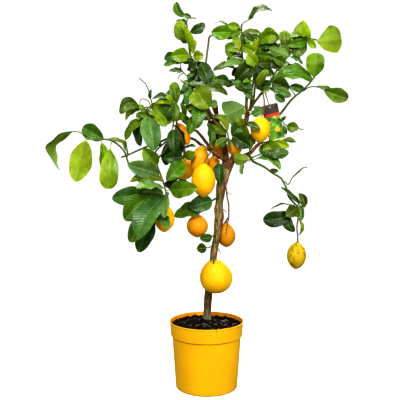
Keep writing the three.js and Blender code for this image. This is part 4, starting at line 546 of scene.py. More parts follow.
# A shape gathers skins, and then becomes one object.
def newShape():
    return {"points": [], "faces": [], "finishes": [], "place": [], "tint": [], "count": 0}


# Skins rows of rings, an array of [ring, point, xyz], into a closed body with a fan at each end.
def addSkin(shape, rings, finish=0, place=None, tint=(1, 1, 1), capFinish=None, sideFinish=None):
    rows, around = rings.shape[:2]
    start = shape["count"]
    ends = np.array([rings[0].mean(0), rings[-1].mean(0)])
    shape["points"].append(np.vstack([rings.reshape(-1, 3), ends]))
    index = start + np.arange(rows * around).reshape(rows, around)
    beside = np.roll(index, -1, axis=1)
    quads = np.stack([index[:-1], beside[:-1], beside[1:], index[1:]], axis=-1).reshape(-1, 4)
    finishes = np.full(len(quads), finish)
    if sideFinish is not None:
        finishes = np.tile(sideFinish, rows - 1)
    first, last = start + rows * around, start + rows * around + 1
    fans = [[first, b, a] for a, b in zip(index[0], beside[0])]
    fans += [[last, a, b] for a, b in zip(index[-1], beside[-1])]
    shape["faces"] += quads.tolist() + fans
    capped = finish if capFinish is None else capFinish
    shape["finishes"] += finishes.tolist() + [finish] * around + [capped] * around
    if place is None:
        place = np.zeros((rows * around, 3))
    shape["place"].append(np.vstack([place.reshape(-1, 3), np.zeros((2, 3))]))
    if np.ndim(tint) == 1:
        tint = np.tile(tint, (rows * around + 2, 1))
    shape["tint"].append(tint)
    shape["count"] += rows * around + 2


# The faces between rings that close on themselves, the last ring joined to the first.
def hoopFaces(rings, around):
    faces = []
    for ring in range(rings):
        here, there = ring * around, (ring + 1) % rings * around
        for step in range(around):
            beside = (step + 1) % around
            faces.append([here + step, here + beside, there + beside, there + step])
    return faces


def addMesh(shape, points, faces, place=None):
    start = shape["count"]
    shape["points"].append(np.asarray(points, float))
    shape["faces"] += [[start + corner for corner in face] for face in faces]
    shape["finishes"] += [0] * len(faces)
    shape["place"].append(np.zeros((len(points), 3)) if place is None else np.array(place))
    shape["tint"].append(np.ones((len(points), 3)))
    shape["count"] += len(points)


# Makes the object with its finishes: it rides on the root body and stands for its CAD node, which is
# hidden.
def makePiece(name, shape, materials, node, sharp=60):
    mesh = bpy.data.meshes.new(name)
    points = np.vstack(shape["points"]) * millimetre
    mesh.from_pydata(points.tolist(), [], shape["faces"])
    for material in materials:
        mesh.materials.append(material)
    mesh.polygons.foreach_set("material_index", shape["finishes"])
    for key in ("place", "tint"):
        layer = mesh.attributes.new(key, "FLOAT_VECTOR", "POINT")
        layer.data.foreach_set("vector", np.vstack(shape[key]).astype(np.float32).ravel())
    mesh.shade_smooth()
    mesh.set_sharp_from_angle(angle=math.radians(sharp))
    mesh.validate()
    piece = linkObject(name, mesh)
    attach(piece, "root")
    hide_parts(node)
    return piece


def seen(across, up, depth):
    inPlane = np.array([across, 0.0, up + upZero])
    return eye + (inPlane - eye) * (depth - eye[1]) / -eye[1]


def unit(vector):
    return vector / max(np.linalg.norm(vector), 1e-9)


# Angles once round, from 0.
def turnsRound(count):
    return np.linspace(0, 2 * math.pi, count, endpoint=False)


def levelRing(radius, up, angles):
    return [(radius * math.cos(angle), radius * math.sin(angle), up) for angle in angles]


# Directions square to a path, carried along it without twisting.
def squareFrames(points, closed=False):
    steps = np.gradient(points, axis=0)
    if closed:
        steps = np.roll(points, -1, axis=0) - np.roll(points, 1, axis=0)
    across = np.array([0, 1, 0.17])
    sides = []
    for step in steps:
        along = unit(step)
        other = unit(np.cross(along, across))
        across = unit(np.cross(other, along))
        sides.append((across, other))
    return np.array(sides)


# A smooth curve through all knots but the first one and the last two.
def curveThrough(padded, steps):
    t = np.linspace(0, 1, steps, endpoint=False)[:, None]
    spans = []
    for a, b, c, d in zip(padded, padded[1:], padded[2:], padded[3:]):
        curve = 2 * b + (c - a) * t + (2 * a - 5 * b + 4 * c - d) * t ** 2
        spans.append(0.5 * (curve + (3 * b - a - 3 * c + d) * t ** 3))
    return np.vstack(spans)


# A route through its points as a smooth curve, with a radius at each place.
def smoothRoute(route, steps=5):
    knots = np.array([[*seen(*spot[:3]), spot[3]] for spot in route])
    padded = np.vstack([2 * knots[0] - knots[1], knots, 2 * knots[-1] - knots[-2]])
    return np.vstack([curveThrough(padded, steps), knots[-1:]])


def noiseAt(point, size, seed):
    return noise.noise(Vector(point) / size + Vector((seed, seed * 1.7, -seed)))


woodSpec = {
    "sides": 9,
    "knobSize": 9.0,       # mm, the length of a swelling
    "knobRise": 0.14,      # share of the radius
    "budSize": 4.0,        # mm, smaller swellings at half the rise
    "thinnest": 0.6,       # mm, the least radius
    "barkRadius": 4.2,     # thicker wood is bark all over, thinner wood turns green
    "greenRadius": 2.1,
    # cut off at the tip
    "bareWood": {"leader": 0, "bare_shoot": 0.6, "dangling_twig": 0},   # their green share
}


# A knobbly tube; place holds (distance along, angle, how green the wood is).
def addTwig(shape, route, seed, finish=0, tipFinish=None, sides=None, young=True):
    sides = sides or woodSpec["sides"]
    path = smoothRoute(route)
    points, radii = path[:, :3], np.maximum(path[:, 3], woodSpec["thinnest"])
    walked = np.concatenate([[0], np.cumsum(np.linalg.norm(np.diff(points, axis=0), axis=1))])
    frames = squareFrames(points)
    angles = turnsRound(sides)
    rings = np.zeros((len(points), sides, 3))
    place = np.zeros((len(points), sides, 3))
    greenness = np.interp(radii, [woodSpec["greenRadius"], woodSpec["barkRadius"]], [1, 0]) * young
    for row, (point, radius, (across, other)) in enumerate(zip(points, radii, frames)):
        for side, angle in enumerate(angles):
            outward = across * math.cos(angle) + other * math.sin(angle)
            spot = point + outward * radius
            swell = noiseAt(spot, woodSpec["knobSize"], seed)
            swell += 0.5 * noiseAt(spot, woodSpec["budSize"], seed + 9)
            rings[row, side] = point + outward * radius * (1 + woodSpec["knobRise"] * swell)
            place[row, side] = (walked[row], angle, greenness[row])
    addSkin(shape, rings, finish, place, capFinish=tipFinish)


leafSpec = {
    "thickness": 0.4,      # mm
    "petioleRadius": 0.95,
    "petioleBend": 0.35,   # how far before the blade it bends, a share of its own length
    "petioleReach": 0.15,  # how much of the leaf's reach it takes
    "pointed": 1.3,        # higher draws both ends to finer points
    "ribHeight": 0.85,     # against the petiole's radius
    "edgeThin": 0.4,       # how much thinner the margin is
    "fold": 0.42,          # radians, each half rises towards the upper face
    "droop": 0.1,          # the midrib's bow, a share of the length
    "slender": 0.46,       # whole width over length
    "rings": 17,
    "across": 9,
    "wave": 0.034,         # the margin's ripple, a share of the length
    "ragged": 0.07,        # how unevenly wide each half is
    "twist": 0.34,
    "tipCurl": 0.16,
    "tipPart": 0.992,      # where the last ring sits, a share of the length
    "ribReach": 1.3,       # mm, how wide the midrib swells the blade
    "sun": (0.45, 0.15, 0.35, 0.4),     # the light's mean, then its change by leaf, side and end
    "firstLeaf": 9.0,      # how far along its twig the first leaf can sit
    "usual": [0, 0.5, 1],  # bow, widest place and side of most leaves
    "shaded": (0.54, 0.64, 0.7),    # what a blade's darkest and sunniest parts do to its colour
    "sunned": (1.9, 1.6, 1.1),
}
# ash is a pale grey green: the under side's own colour, and on leaves that show their upper side a
# painted sheen
leafTones = {
    "dark": ["#304e18", "#3a5c18", "#284410"],
    "mid": ["#50740c", "#5c7e10", "#466a0a"],
    "ash": ["#507440", "#5c7e4a", "#446a36"],
    "lime": ["#68820a", "#76900a", "#5c7806"],
    "spring": ["#8ca40a", "#98b00e", "#7e9808"],
    "olive": ["#5c740a", "#50680a", "#68800e"],
    "shade": ["#30440a", "#283a08", "#3c4e0c"],
}


# The point of a route that lies nearest to a place as seen, past the route's buried start.
def nearestOnRoutes(routes, across, up):
    best = (math.inf, None)
    for route in routes:
        for index, (a, b) in enumerate(zip(route, route[1:])):
            a, b = np.array(a, float), np.array(b, float)
            span = b - a
            flat = span[0] ** 2 + span[1] ** 2
            along = ((across - a[0]) * span[0] + (up - a[1]) * span[1]) / flat
            least = min(1, leafSpec["firstLeaf"] / np.linalg.norm(span[:3])) if index == 0 else 0
            spot = a + span * min(max(along, least), 1)
            distance = math.hypot(spot[0] - across, spot[1] - up)
            if distance < best[0]:
                best = (distance, spot)
    return best[1]


def addLeaf(shape, routes, entry, seed):
    spec = leafSpec
    tone, baseAcross, baseUp, tipAcross, tipUp, width, reach = entry[:7]
    bow, widest, face = entry[7:] + spec["usual"][len(entry) - 7:]
    draw = random.Random(seed)
    root = nearestOnRoutes(routes, baseAcross, baseUp)
    start = seen(*root[:3])
    base = seen(baseAcross, baseUp, root[2] + spec["petioleReach"] * reach)
    tip = seen(tipAcross, tipUp, root[2] + reach)
    length = np.linalg.norm(tip - base)
    along = unit(tip - base)
    view = unit((base + tip) / 2 - eye)
    towards = unit(along * view.dot(along) - view)
    right = unit(np.cross(along, towards))
    shown = width * (root[2] - eye[1]) / -eye[1]
    whole = max(shown, min(spec["slender"] * length, shown * 3))
    tilt = math.acos(min(1, shown / whole)) * (1 if right[2] * face >= 0 else -1)
    normal = towards * math.cos(tilt) + right * math.sin(tilt)
    side = right * math.cos(tilt) - towards * math.sin(tilt)
    upper = normal * face

    # petiole: from the twig, bending into the midrib
    rod = spec["petioleRadius"] * (0.8 + 0.2 * min(1, whole / 30))
    gapAlong = np.linalg.norm(base - start)
    way = unit(base - start) if gapAlong > 3 else along
    bendPoint = base - along * gapAlong * spec["petioleBend"]
    shares = [0.0, 0.3, 0.6, 0.85] if gapAlong > 3 else [0.0]
    spread = np.linspace(-1, 1, spec["across"])
    over = np.sqrt(np.maximum(0, 1 - spread ** 2))
    lateral = np.concatenate([spread, spread[-2:0:-1]])     # once round the section
    vertical = np.concatenate([over, -over[-2:0:-1]])
    rings, place, sun = [], [], []
    for share in shares:
        centre = (1 - share) ** 2 * start + 2 * share * (1 - share) * bendPoint + share ** 2 * base
        heading = unit(way * (1 - share) + along * share)
        wide = unit(np.cross(heading, upper)) * face
        deep = unit(np.cross(wide, heading)) * face
        swell = rod * (1.45 - 0.45 * min(1, share * 3))
        rings.append(centre + np.outer(lateral * swell, wide) + np.outer(vertical * swell, deep))
        place.append([(-gapAlong * (1 - share), value * rod, 0) for value in lateral])

    # blade
    pointed = spec["pointed"] * widest
    blunt = spec["pointed"] - pointed
    fullest = widest ** pointed * (1 - widest) ** blunt
    fold = spec["fold"] * draw.uniform(0.4, 1.4) * shown / whole
    curl = spec["tipCurl"] * draw.uniform(-0.2, 1.2)
    twist = spec["twist"] * draw.uniform(-1, 1)
    waves = draw.uniform(1.6, 2.8)
    phases = [draw.uniform(0, 2 * math.pi), draw.uniform(0, 2 * math.pi)]
    sunSide, sunEnd, sunLevel = (draw.uniform(-1, 1) for turn in range(3))
    ripple = spec["wave"] * draw.uniform(0.5, 1.5) * length
    parts = 0.5 - 0.5 * np.cos(np.linspace(0.12, 1, spec["rings"]) * math.pi)
    parts[-1] = spec["tipPart"]
    mean, byLeaf, bySide, byEnd = spec["sun"]
    for part in parts:
        grown = part ** pointed * (1 - part) ** blunt / fullest
        half = math.hypot(whole / 2 * grown, rod * (1 - part) ** 2)
        uneven = [spec["ragged"] * math.sin(phase + part * 9) for phase in phases]
        out = lateral * half * (1 + np.where(lateral > 0, *uneven) * math.sin(math.pi * part))
        arch = 4 * part * (1 - part) * length
        centre = base + along * length * part + right * arch * bow + upper * arch * spec["droop"]
        centre = centre - upper * curl * length * max(0, part - 0.5) ** 2
        turn = twist * (part - 0.35)
        wide = side * math.cos(turn) + upper * math.sin(turn)
        lift = upper * math.cos(turn) - side * math.sin(turn)
        amount = np.abs(lateral)
        rise = half * math.tan(fold) * amount * (1.25 - 0.45 * amount)
        wave = [ripple * math.sin(2 * math.pi * waves * part + phases[int(v > 0)]) for v in lateral]
        rise = rise + np.array(wave) * amount ** 2 * math.sin(math.pi * part) ** 0.7
        rib = np.exp(-((lateral * half / spec["ribReach"]) ** 2)) * (1 - part * 0.75)
        ribbed = rod * spec["ribHeight"] * rib
        body = spec["thickness"] / 2 * (1 - spec["edgeThin"] * amount ** 4)
        under = vertical < -1e-6
        skin = np.where(under, -body - ribbed, np.where(vertical > 1e-6, body - 0.12 * ribbed, 0))
        rings.append(centre + np.outer(out, wide) + np.outer(rise + skin, lift))
        place.append([(length * part, value * half, part) for value in lateral])
        level = mean + byLeaf * sunLevel
        sun.append(level + bySide * sunSide * lateral + byEnd * sunEnd * (part - 0.5))
    sun = np.clip(np.array([sun[0]] * len(shares) + sun), 0, 1)[:, :, None]
    rings, place = np.array(rings), np.array(place)
    sides = np.array([1] * (spec["across"] - 1) + [2] * (spec["across"] - 1))
    if face < 0:
        rings, place, sun = rings[:, ::-1], place[:, ::-1], sun[:, ::-1]
        sides = np.array([2] * (spec["across"] - 2) + [1] * (spec["across"] - 1) + [2])
    hue = np.array(toLinear(draw.choice(leafTones[tone])))
    hue = hue * draw.uniform(0.88, 1.14) * np.array([draw.uniform(0.92, 1.1), 1, 1])
    tint = hue * (sun * spec["sunned"] + (1 - sun) * spec["shaded"])
    tint = np.vstack([tint.reshape(-1, 3), hue, hue])
    addSkin(shape, rings, 1, place, tint, sideFinish=sides)


# Injection-moulded polypropylene: one strong colour with a satin gloss, fine scuffs that run
# round the pot, compost dust at the foot and a dirty run under the lip. Painted light makes the
# inner wall more orange; painted shade darkens the crease under the band and the foot's edge.
potFinish = {
    "yellow": "#eebb00",
    "flow": "#e6a800",         # where the plastic flowed a shade darker
    "inside": "#f4a818",       # light that has come through the thin wall is more orange
    "insideRadius": 93.4,      # the inner wall lies within this radius, above this height
    "insideFoot": 148,
    "flowSize": 70,            # mm
    "scuffSize": 1.6,          # real scuffs are about 0.2 mm, drawn coarser so that they show
    "scuffDraw": (0.06, 0.06, 1),   # and drawn out round the pot
    "skinSize": 2.4,           # the mould's texture, drawn coarser too
    "dust": "#b98a3c",
    "dustHeight": 16,
    "dustSize": 7,             # mm between its specks
    "grimeAndPaintedShade": "#6a3a00",        # painted shade in the crease under the band and round the foot, and the dirt of the drip
    "creaseHeight": 132.2,
    "creaseReach": 1.9,
    "footReach": 2.6,
    "drip": 23.5,              # a dirty run under the lip, this far to the right
    "dripFoot": 151,
    "dripFade": 8,
    "dripHalfWidth": 0.7,
}


def makePotPlastic():
    spec = potFinish
    material, add = newMaterial("mouldedPolypropylene")
    place = add("TexCoord", {}).outputs["Object"]
    sides = add("SeparateXYZ", {"Vector": place})
    up = sides.outputs["Z"]
    flow = add("TexNoise", {"Vector": place, "Scale": drawnAt(spec["flowSize"]), "Detail": 3.0})
    flowed = add("MapRange", {"Value": flow, "From Min": 0.4, "From Max": 0.75, "To Max": 0.55})
    plastic = add("Mix", {0: flowed, 6: rgba(spec["yellow"]), 7: rgba(spec["flow"])}, data_type="RGBA")
    speck = add("TexNoise", {
        "Vector": place, "Scale": drawnAt(spec["dustSize"]), "Detail": 6.0, "Roughness": 0.7})
    low = add("MapRange", {
        "Value": up, "From Min": 0.0, "From Max": spec["dustHeight"] * millimetre, "To Min": 0.4,
        "To Max": 0.0})
    dusty = add("Math", {0: low, 1: speck}, operation="MULTIPLY")
    flat = add("Mapping", {"Vector": place, "Scale": (1, 1, 0)})
    radius = add("VectorMath", {0: flat}, operation="LENGTH")
    inward = add("Math", {
        0: radius.outputs["Value"], 1: spec["insideRadius"] * millimetre}, operation="LESS_THAN")
    high = add("Math", {0: up, 1: spec["insideFoot"] * millimetre}, operation="GREATER_THAN")
    within = add("Math", {0: inward, 1: high}, operation="MULTIPLY")
    # painted shade: a dark line in the crease under the band and at the foot's edge, where shadow falls
    offCrease = add("Math", {0: up, 1: spec["creaseHeight"] * millimetre}, operation="SUBTRACT")
    fromCrease = add("Math", {0: offCrease}, operation="ABSOLUTE")
    paintedCreaseShade = add("MapRange", {
        "Value": fromCrease, "From Min": 0.4 * millimetre, "From Max": spec["creaseReach"] * millimetre,
        "To Min": 0.7, "To Max": 0.0}, interpolation_type="SMOOTHSTEP")
    paintedFootShadow = add("MapRange", {
        "Value": up, "From Min": 0.4 * millimetre, "From Max": spec["footReach"] * millimetre,
        "To Min": 0.6, "To Max": 0.0}, interpolation_type="SMOOTHSTEP")
    offDrip = add("Math", {0: sides.outputs["X"], 1: spec["drip"] * millimetre}, operation="SUBTRACT")
    fromDrip = add("Math", {0: offDrip}, operation="ABSOLUTE")
    dripped = add("MapRange", {
        "Value": fromDrip, "From Min": 0.3 * spec["dripHalfWidth"] * millimetre,
        "From Max": spec["dripHalfWidth"] * millimetre, "To Min": 0.6, "To Max": 0.0})
    run = add("MapRange", {
        "Value": up, "From Min": spec["dripFoot"] * millimetre,
        "From Max": (spec["dripFoot"] + spec["dripFade"]) * millimetre})
    before = add("Math", {0: sides.outputs["Y"], 1: 0.0}, operation="LESS_THAN")
    front = add("Math", {0: run, 1: before}, operation="MULTIPLY")
    drip = add("Math", {0: front, 1: dripped}, operation="MULTIPLY")
    # the drip is dirt; the crease and foot lines are painted shade in the same dark colour
    paintedShade = add("Math", {0: paintedCreaseShade, 1: paintedFootShadow}, operation="MAXIMUM")
    dripAndPaintedShade = add("Math", {0: paintedShade, 1: drip}, operation="MAXIMUM")
    colour = plastic
    for share, layer in ((within, "inside"), (dusty, "dust"), (dripAndPaintedShade, "grimeAndPaintedShade")):
        colour = add("Mix", {0: share, 6: colour.outputs[2], 7: rgba(spec[layer])}, data_type="RGBA")
    drawn = add("Mapping", {"Vector": place, "Scale": spec["scuffDraw"]})
    scuff = add("TexNoise", {
        "Vector": drawn, "Scale": drawnAt(spec["scuffSize"]), "Detail": 4.0, "Roughness": 0.65})
    gloss = add("MapRange", {
        "Value": scuff, "From Min": 0.35, "From Max": 0.7, "To Min": 0.42, "To Max": 0.54})
    skin = add("TexNoise", {"Vector": place, "Scale": drawnAt(spec["skinSize"]), "Detail": 2.0})
    relief = add("Math", {0: scuff, 1: skin}, operation="ADD")
    bumped = add("Bump", {"Height": relief, "Strength": 0.1, "Distance": 0.05 * millimetre})
    shader = add("BsdfPrincipled", {
        "Base Color": colour.outputs[2], "Roughness": gloss, "IOR": 1.49, "Normal": bumped})
    add("OutputMaterial", {"Surface": shader})
    return material


# Damp peat compost: near black crumbs with dry brown faces, no gloss but on the wet spots.
compostFinish = {"wet": "#120a05", "dry": "#38251a", "patchSize": 13, "grainSize": 1.3}    # mm


def makeCompost():
    spec = compostFinish
    material, add = newMaterial("dampPeatCompost")
    place = add("TexCoord", {}).outputs["Object"]
    tint = add("Attribute", {}, attribute_name="tint").outputs["Vector"]
    patch = add("TexNoise", {
        "Vector": place, "Scale": drawnAt(spec["patchSize"]), "Detail": 6.0, "Roughness": 0.75})
    dryness = add("MapRange", {"Value": patch, "From Min": 0.42, "From Max": 0.72})
    mixed = add("Mix", {0: dryness, 6: rgba(spec["wet"]), 7: rgba(spec["dry"])}, data_type="RGBA")
    colour = add("Mix", {0: 1.0, 6: mixed.outputs[2], 7: tint}, data_type="RGBA", blend_type="MULTIPLY")
    grain = add("TexNoise", {
        "Vector": place, "Scale": drawnAt(spec["grainSize"]), "Detail": 5.0, "Roughness": 0.7})
    gloss = add("MapRange", {
        "Value": patch, "From Min": 0.3, "From Max": 0.6, "To Min": 0.55, "To Max": 0.95})
    bumped = add("Bump", {"Height": grain, "Strength": 0.9, "Distance": 0.9 * millimetre})
    shader = add("BsdfPrincipled", {
        "Base Color": colour.outputs[2], "Roughness": gloss, "IOR": 1.4, "Normal": bumped})
    add("OutputMaterial", {"Surface": shader})
    return material


# Plain finishes: two colours in a mottle, with a little relief. Sizes and relief are in mm.
plainFinishes = {
    # wood fibre in the compost: pale dry slivers
    "dryWoodFibre": {"dark": "#6a5a4a", "pale": "#d4c8b4", "size": 3, "detail": 3.0,
                     "relief": 0.2, "strength": 0.6, "rough": 0.85},
    # pruned wood: the pale, dry end of a cut stem
    "prunedWoodEnd": {"dark": "#8b6a42", "pale": "#d9bf92", "size": 1.6, "detail": 4.0,
                      "relief": 0.3, "strength": 0.5, "rough": 0.8},
    # calyx: the dull green star that holds the fruit, browned in patches
    "dullGreenCalyx": {"dark": "#4f5d20", "pale": "#8c9647", "size": 3.5, "detail": 4.0,
                       "relief": 0.4, "strength": 0.6, "rough": 0.65},
    # garden tie: thin wire in green plastic, dull and a little worn
    "plasticCoatedTieWire": {"dark": "#2c3a1c", "pale": "#56683a", "size": 2.5, "detail": 3.0,
                             "relief": 0.2, "strength": 0.4, "rough": 0.5},
}


def makePlain(name):
    spec = plainFinishes[name]
    material, add = newMaterial(name)
    place = add("TexCoord", {}).outputs["Object"]
    mottle = add("TexNoise", {
        "Vector": place, "Scale": drawnAt(spec["size"]), "Detail": spec["detail"]})
    colour = add("Mix", {0: mottle, 6: rgba(spec["dark"]), 7: rgba(spec["pale"])}, data_type="RGBA")
    bumped = add("Bump", {
        "Height": mottle, "Strength": spec["strength"], "Distance": spec["relief"] * millimetre})
    shader = add("BsdfPrincipled", {
        "Base Color": colour.outputs[2], "Roughness": spec["rough"], "Normal": bumped})
    add("OutputMaterial", {"Surface": shader})
    return material


# Bark of an old citrus stem: tan and olive grey in streaks up the stem, purple brown on its
# bosses and, partly as painted shade, on its right side, with dark cracks, moss and pale
# breathing pores. Painted light makes it lighter at the fork.
barkFinish = {
    "tan": "#b29a68",
    "grey": "#5c583a",
    "purple": "#7a4c34",
    "dark": "#33241a",
    "pore": "#b7aa86",
    "lichen": "#5a6434",
    "collar": "#8a8678",   # dry and pale where it leaves the compost
    "damp": "#4c3018",     # darker and redder below the lowest fruit
    "forkPaintedLight": "#d4b080",     # painted light where the limbs part, lifting them out of the leaves' shadow
    # the heights in mm between which each fades, and its share below and above them
    "bands": {"collar": (182, 196, 1.0, 0.0), "damp": (285, 345, 0.5, 0.0), "forkPaintedLight": (500, 560, 0.0, 0.6)},
    "streakSize": 3.2,     # real fibres are about 1 mm, drawn coarser
    "streakDraw": (1, 1, 0.16),     # and drawn out up the stem
    "patchSize": 30,
    "poreSize": 4.5,
    "poreDraw": (1, 1, 2.2),        # wider than tall
}


def makeStemBark():
    spec = barkFinish
    material, add = newMaterial("oldCitrusBark")
    place = add("TexCoord", {}).outputs["Object"]
    stem = add("Attribute", {}, attribute_name="place").outputs["Vector"]
    parts = add("SeparateXYZ", {"Vector": stem})
    long = add("Mapping", {"Vector": place, "Scale": spec["streakDraw"]})
    streak = add("TexNoise", {
        "Vector": long, "Scale": drawnAt(spec["streakSize"]), "Detail": 6.0, "Roughness": 0.65})
    patch = add("TexNoise", {
        "Vector": place, "Scale": drawnAt(spec["patchSize"]), "Detail": 5.0, "Roughness": 0.6})
    streaked = add("MapRange", {"Value": streak, "From Min": 0.42, "From Max": 0.58})
    wood = add("Mix", {0: streaked, 6: rgba(spec["grey"]), 7: rgba(spec["tan"])}, data_type="RGBA")
    # the stem's bosses are purple brown, and so is its right side, partly its own colour and partly
    # painted shade; the outline is ragged
    facing = add("Math", {0: parts.outputs["Y"]}, operation="COSINE")
    ragged = add("Math", {0: patch, 1: 2.6, 2: facing}, operation="MULTIPLY_ADD")
    swollen = add("Math", {0: parts.outputs["Z"], 1: 0.35, 2: ragged}, operation="MULTIPLY_ADD")
    purpledAndShaded = add("MapRange", {
        "Value": swollen, "From Min": 1.5, "From Max": 2.5, "To Max": 0.75},
        interpolation_type="SMOOTHSTEP")
    crack = add("MapRange", {
        "Value": streak, "From Min": 0.28, "From Max": 0.4, "To Min": 0.8, "To Max": 0.0})
    grown = add("MapRange", {"Value": patch, "From Min": 0.5, "From Max": 0.6, "To Max": 0.45})
    bands = {}
    for band, (low, high, below, above) in spec["bands"].items():
        bands[band] = add("MapRange", {
            "Value": parts.outputs["X"], "From Min": low, "From Max": high, "To Min": below,
            "To Max": above})
    speckled = add("Math", {0: bands["collar"], 1: streaked}, operation="MULTIPLY")
    flat = add("Mapping", {"Vector": place, "Scale": spec["poreDraw"]})
    cell = add("TexVoronoi", {"Vector": flat, "Scale": drawnAt(spec["poreSize"]), "Randomness": 1.0})
    pore = add("MapRange", {
        "Value": cell, "From Min": 0.1, "From Max": 0.2, "To Min": 0.6, "To Max": 0.0})
    layers = {
        "purple": purpledAndShaded, "lichen": grown, "forkPaintedLight": bands["forkPaintedLight"], "damp": bands["damp"],
        "collar": speckled, "dark": crack, "pore": pore}
    colour = wood
    for layer, share in layers.items():
        colour = add("Mix", {0: share, 6: colour.outputs[2], 7: rgba(spec[layer])}, data_type="RGBA")
    relief = add("Math", {0: pore, 1: 0.5, 2: streak}, operation="MULTIPLY_ADD")
    bumped = add("Bump", {"Height": relief, "Strength": 0.9, "Distance": 1.8 * millimetre})
    shader = add("BsdfPrincipled", {
        "Base Color": colour.outputs[2], "Roughness": 0.82, "Normal": bumped})
    add("OutputMaterial", {"Surface": shader})
    return material


# Twigs: green and smooth where they are young, striped with grey brown bark as they thicken.
twigFinish = {
    "young": "#4e5e18", "bark": "#a67c52", "dark": "#3c281a",
    "mottleSize": 2.4,     # mm
    "stripeScale": 1.6, "stripeRound": 1.5, "stripeAlong": 0.12,
}


def makeTwigBark():
    spec = twigFinish
    material, add = newMaterial("citrusTwigBark")
    place = add("TexCoord", {}).outputs["Object"]
    stem = add("Attribute", {}, attribute_name="place").outputs["Vector"]
    parts = add("SeparateXYZ", {"Vector": stem})
    # along the twig the pattern is drawn out, round it the angle carries it
    turned = add("Math", {0: parts.outputs["Y"], 1: spec["stripeRound"]}, operation="MULTIPLY")
    drawn = add("Math", {0: parts.outputs["X"], 1: spec["stripeAlong"]}, operation="MULTIPLY")
    surface = add("CombineXYZ", {"X": turned, "Y": drawn})
    stripe = add("TexNoise", {
        "Vector": surface, "Scale": spec["stripeScale"], "Detail": 5.0, "Roughness": 0.6})
    mottled = add("TexNoise", {
        "Vector": place, "Scale": drawnAt(spec["mottleSize"]), "Detail": 4.0, "Roughness": 0.6})
    striped = add("MapRange", {"Value": stripe, "From Min": 0.38, "From Max": 0.62})
    wood = add("Mix", {0: striped, 6: rgba(spec["dark"]), 7: rgba(spec["bark"])}, data_type="RGBA")
    spread = add("Math", {0: mottled, 1: 0.7, 2: parts.outputs["Z"]}, operation="MULTIPLY_ADD")
    green = add("MapRange", {"Value": spread, "From Min": 0.55, "From Max": 1.05})
    colour = add("Mix", {0: green, 6: wood.outputs[2], 7: rgba(spec["young"])}, data_type="RGBA")
    gloss = add("MapRange", {"Value": green, "To Min": 0.8, "To Max": 0.45})
    relief = add("Math", {0: stripe, 1: mottled}, operation="ADD")
    bumped = add("Bump", {"Height": relief, "Strength": 0.5, "Distance": 0.5 * millimetre})
    shader = add("BsdfPrincipled", {
        "Base Color": colour.outputs[2], "Roughness": gloss, "Normal": bumped})
    add("OutputMaterial", {"Surface": shader})
    return material


# Citrus leaf. Its waxed upper side is glossy, with sunken pale veins; the under side is paler
# and matt, with raised veins. The vertex data gives mm along the midrib and mm out from it.
leafFinish = {
    "upper": {
        "name": "waxedLeafUpper", "wash": "#b9c66a", "washShare": 0.0, "vein": "#a9bd55",
        "midribShare": 0.3, "veinShare": 0.07, "rough": 0.26, "matt": 0.4, "relief": -0.4,
        "blister": 0.6,
    },
    "under": {
        "name": "mattLeafUnder", "wash": "#98ad58", "washShare": 0.22, "vein": "#b0bf6a",
        "midribShare": 0.5, "veinShare": 0.22, "rough": 0.5, "matt": 0.66, "relief": 0.5,
        "blister": 0.25,
    },
    "veinSpacing": 8,          # mm between side veins
    "quilting": 0.12,          # how far the blade bulges between them, against the bump
    "veinWidth": 0.75,         # real ones are 0.3 mm, drawn wider so that they show
    "veinSlant": 0.75,
    "midribWidth": 1.25,
    "cellSize": 4.5,           # the blade's blistering between its small veins
    "mottleSize": 16,
    "veinWander": 7.0,         # mm, how far the mottle bends the side veins
}


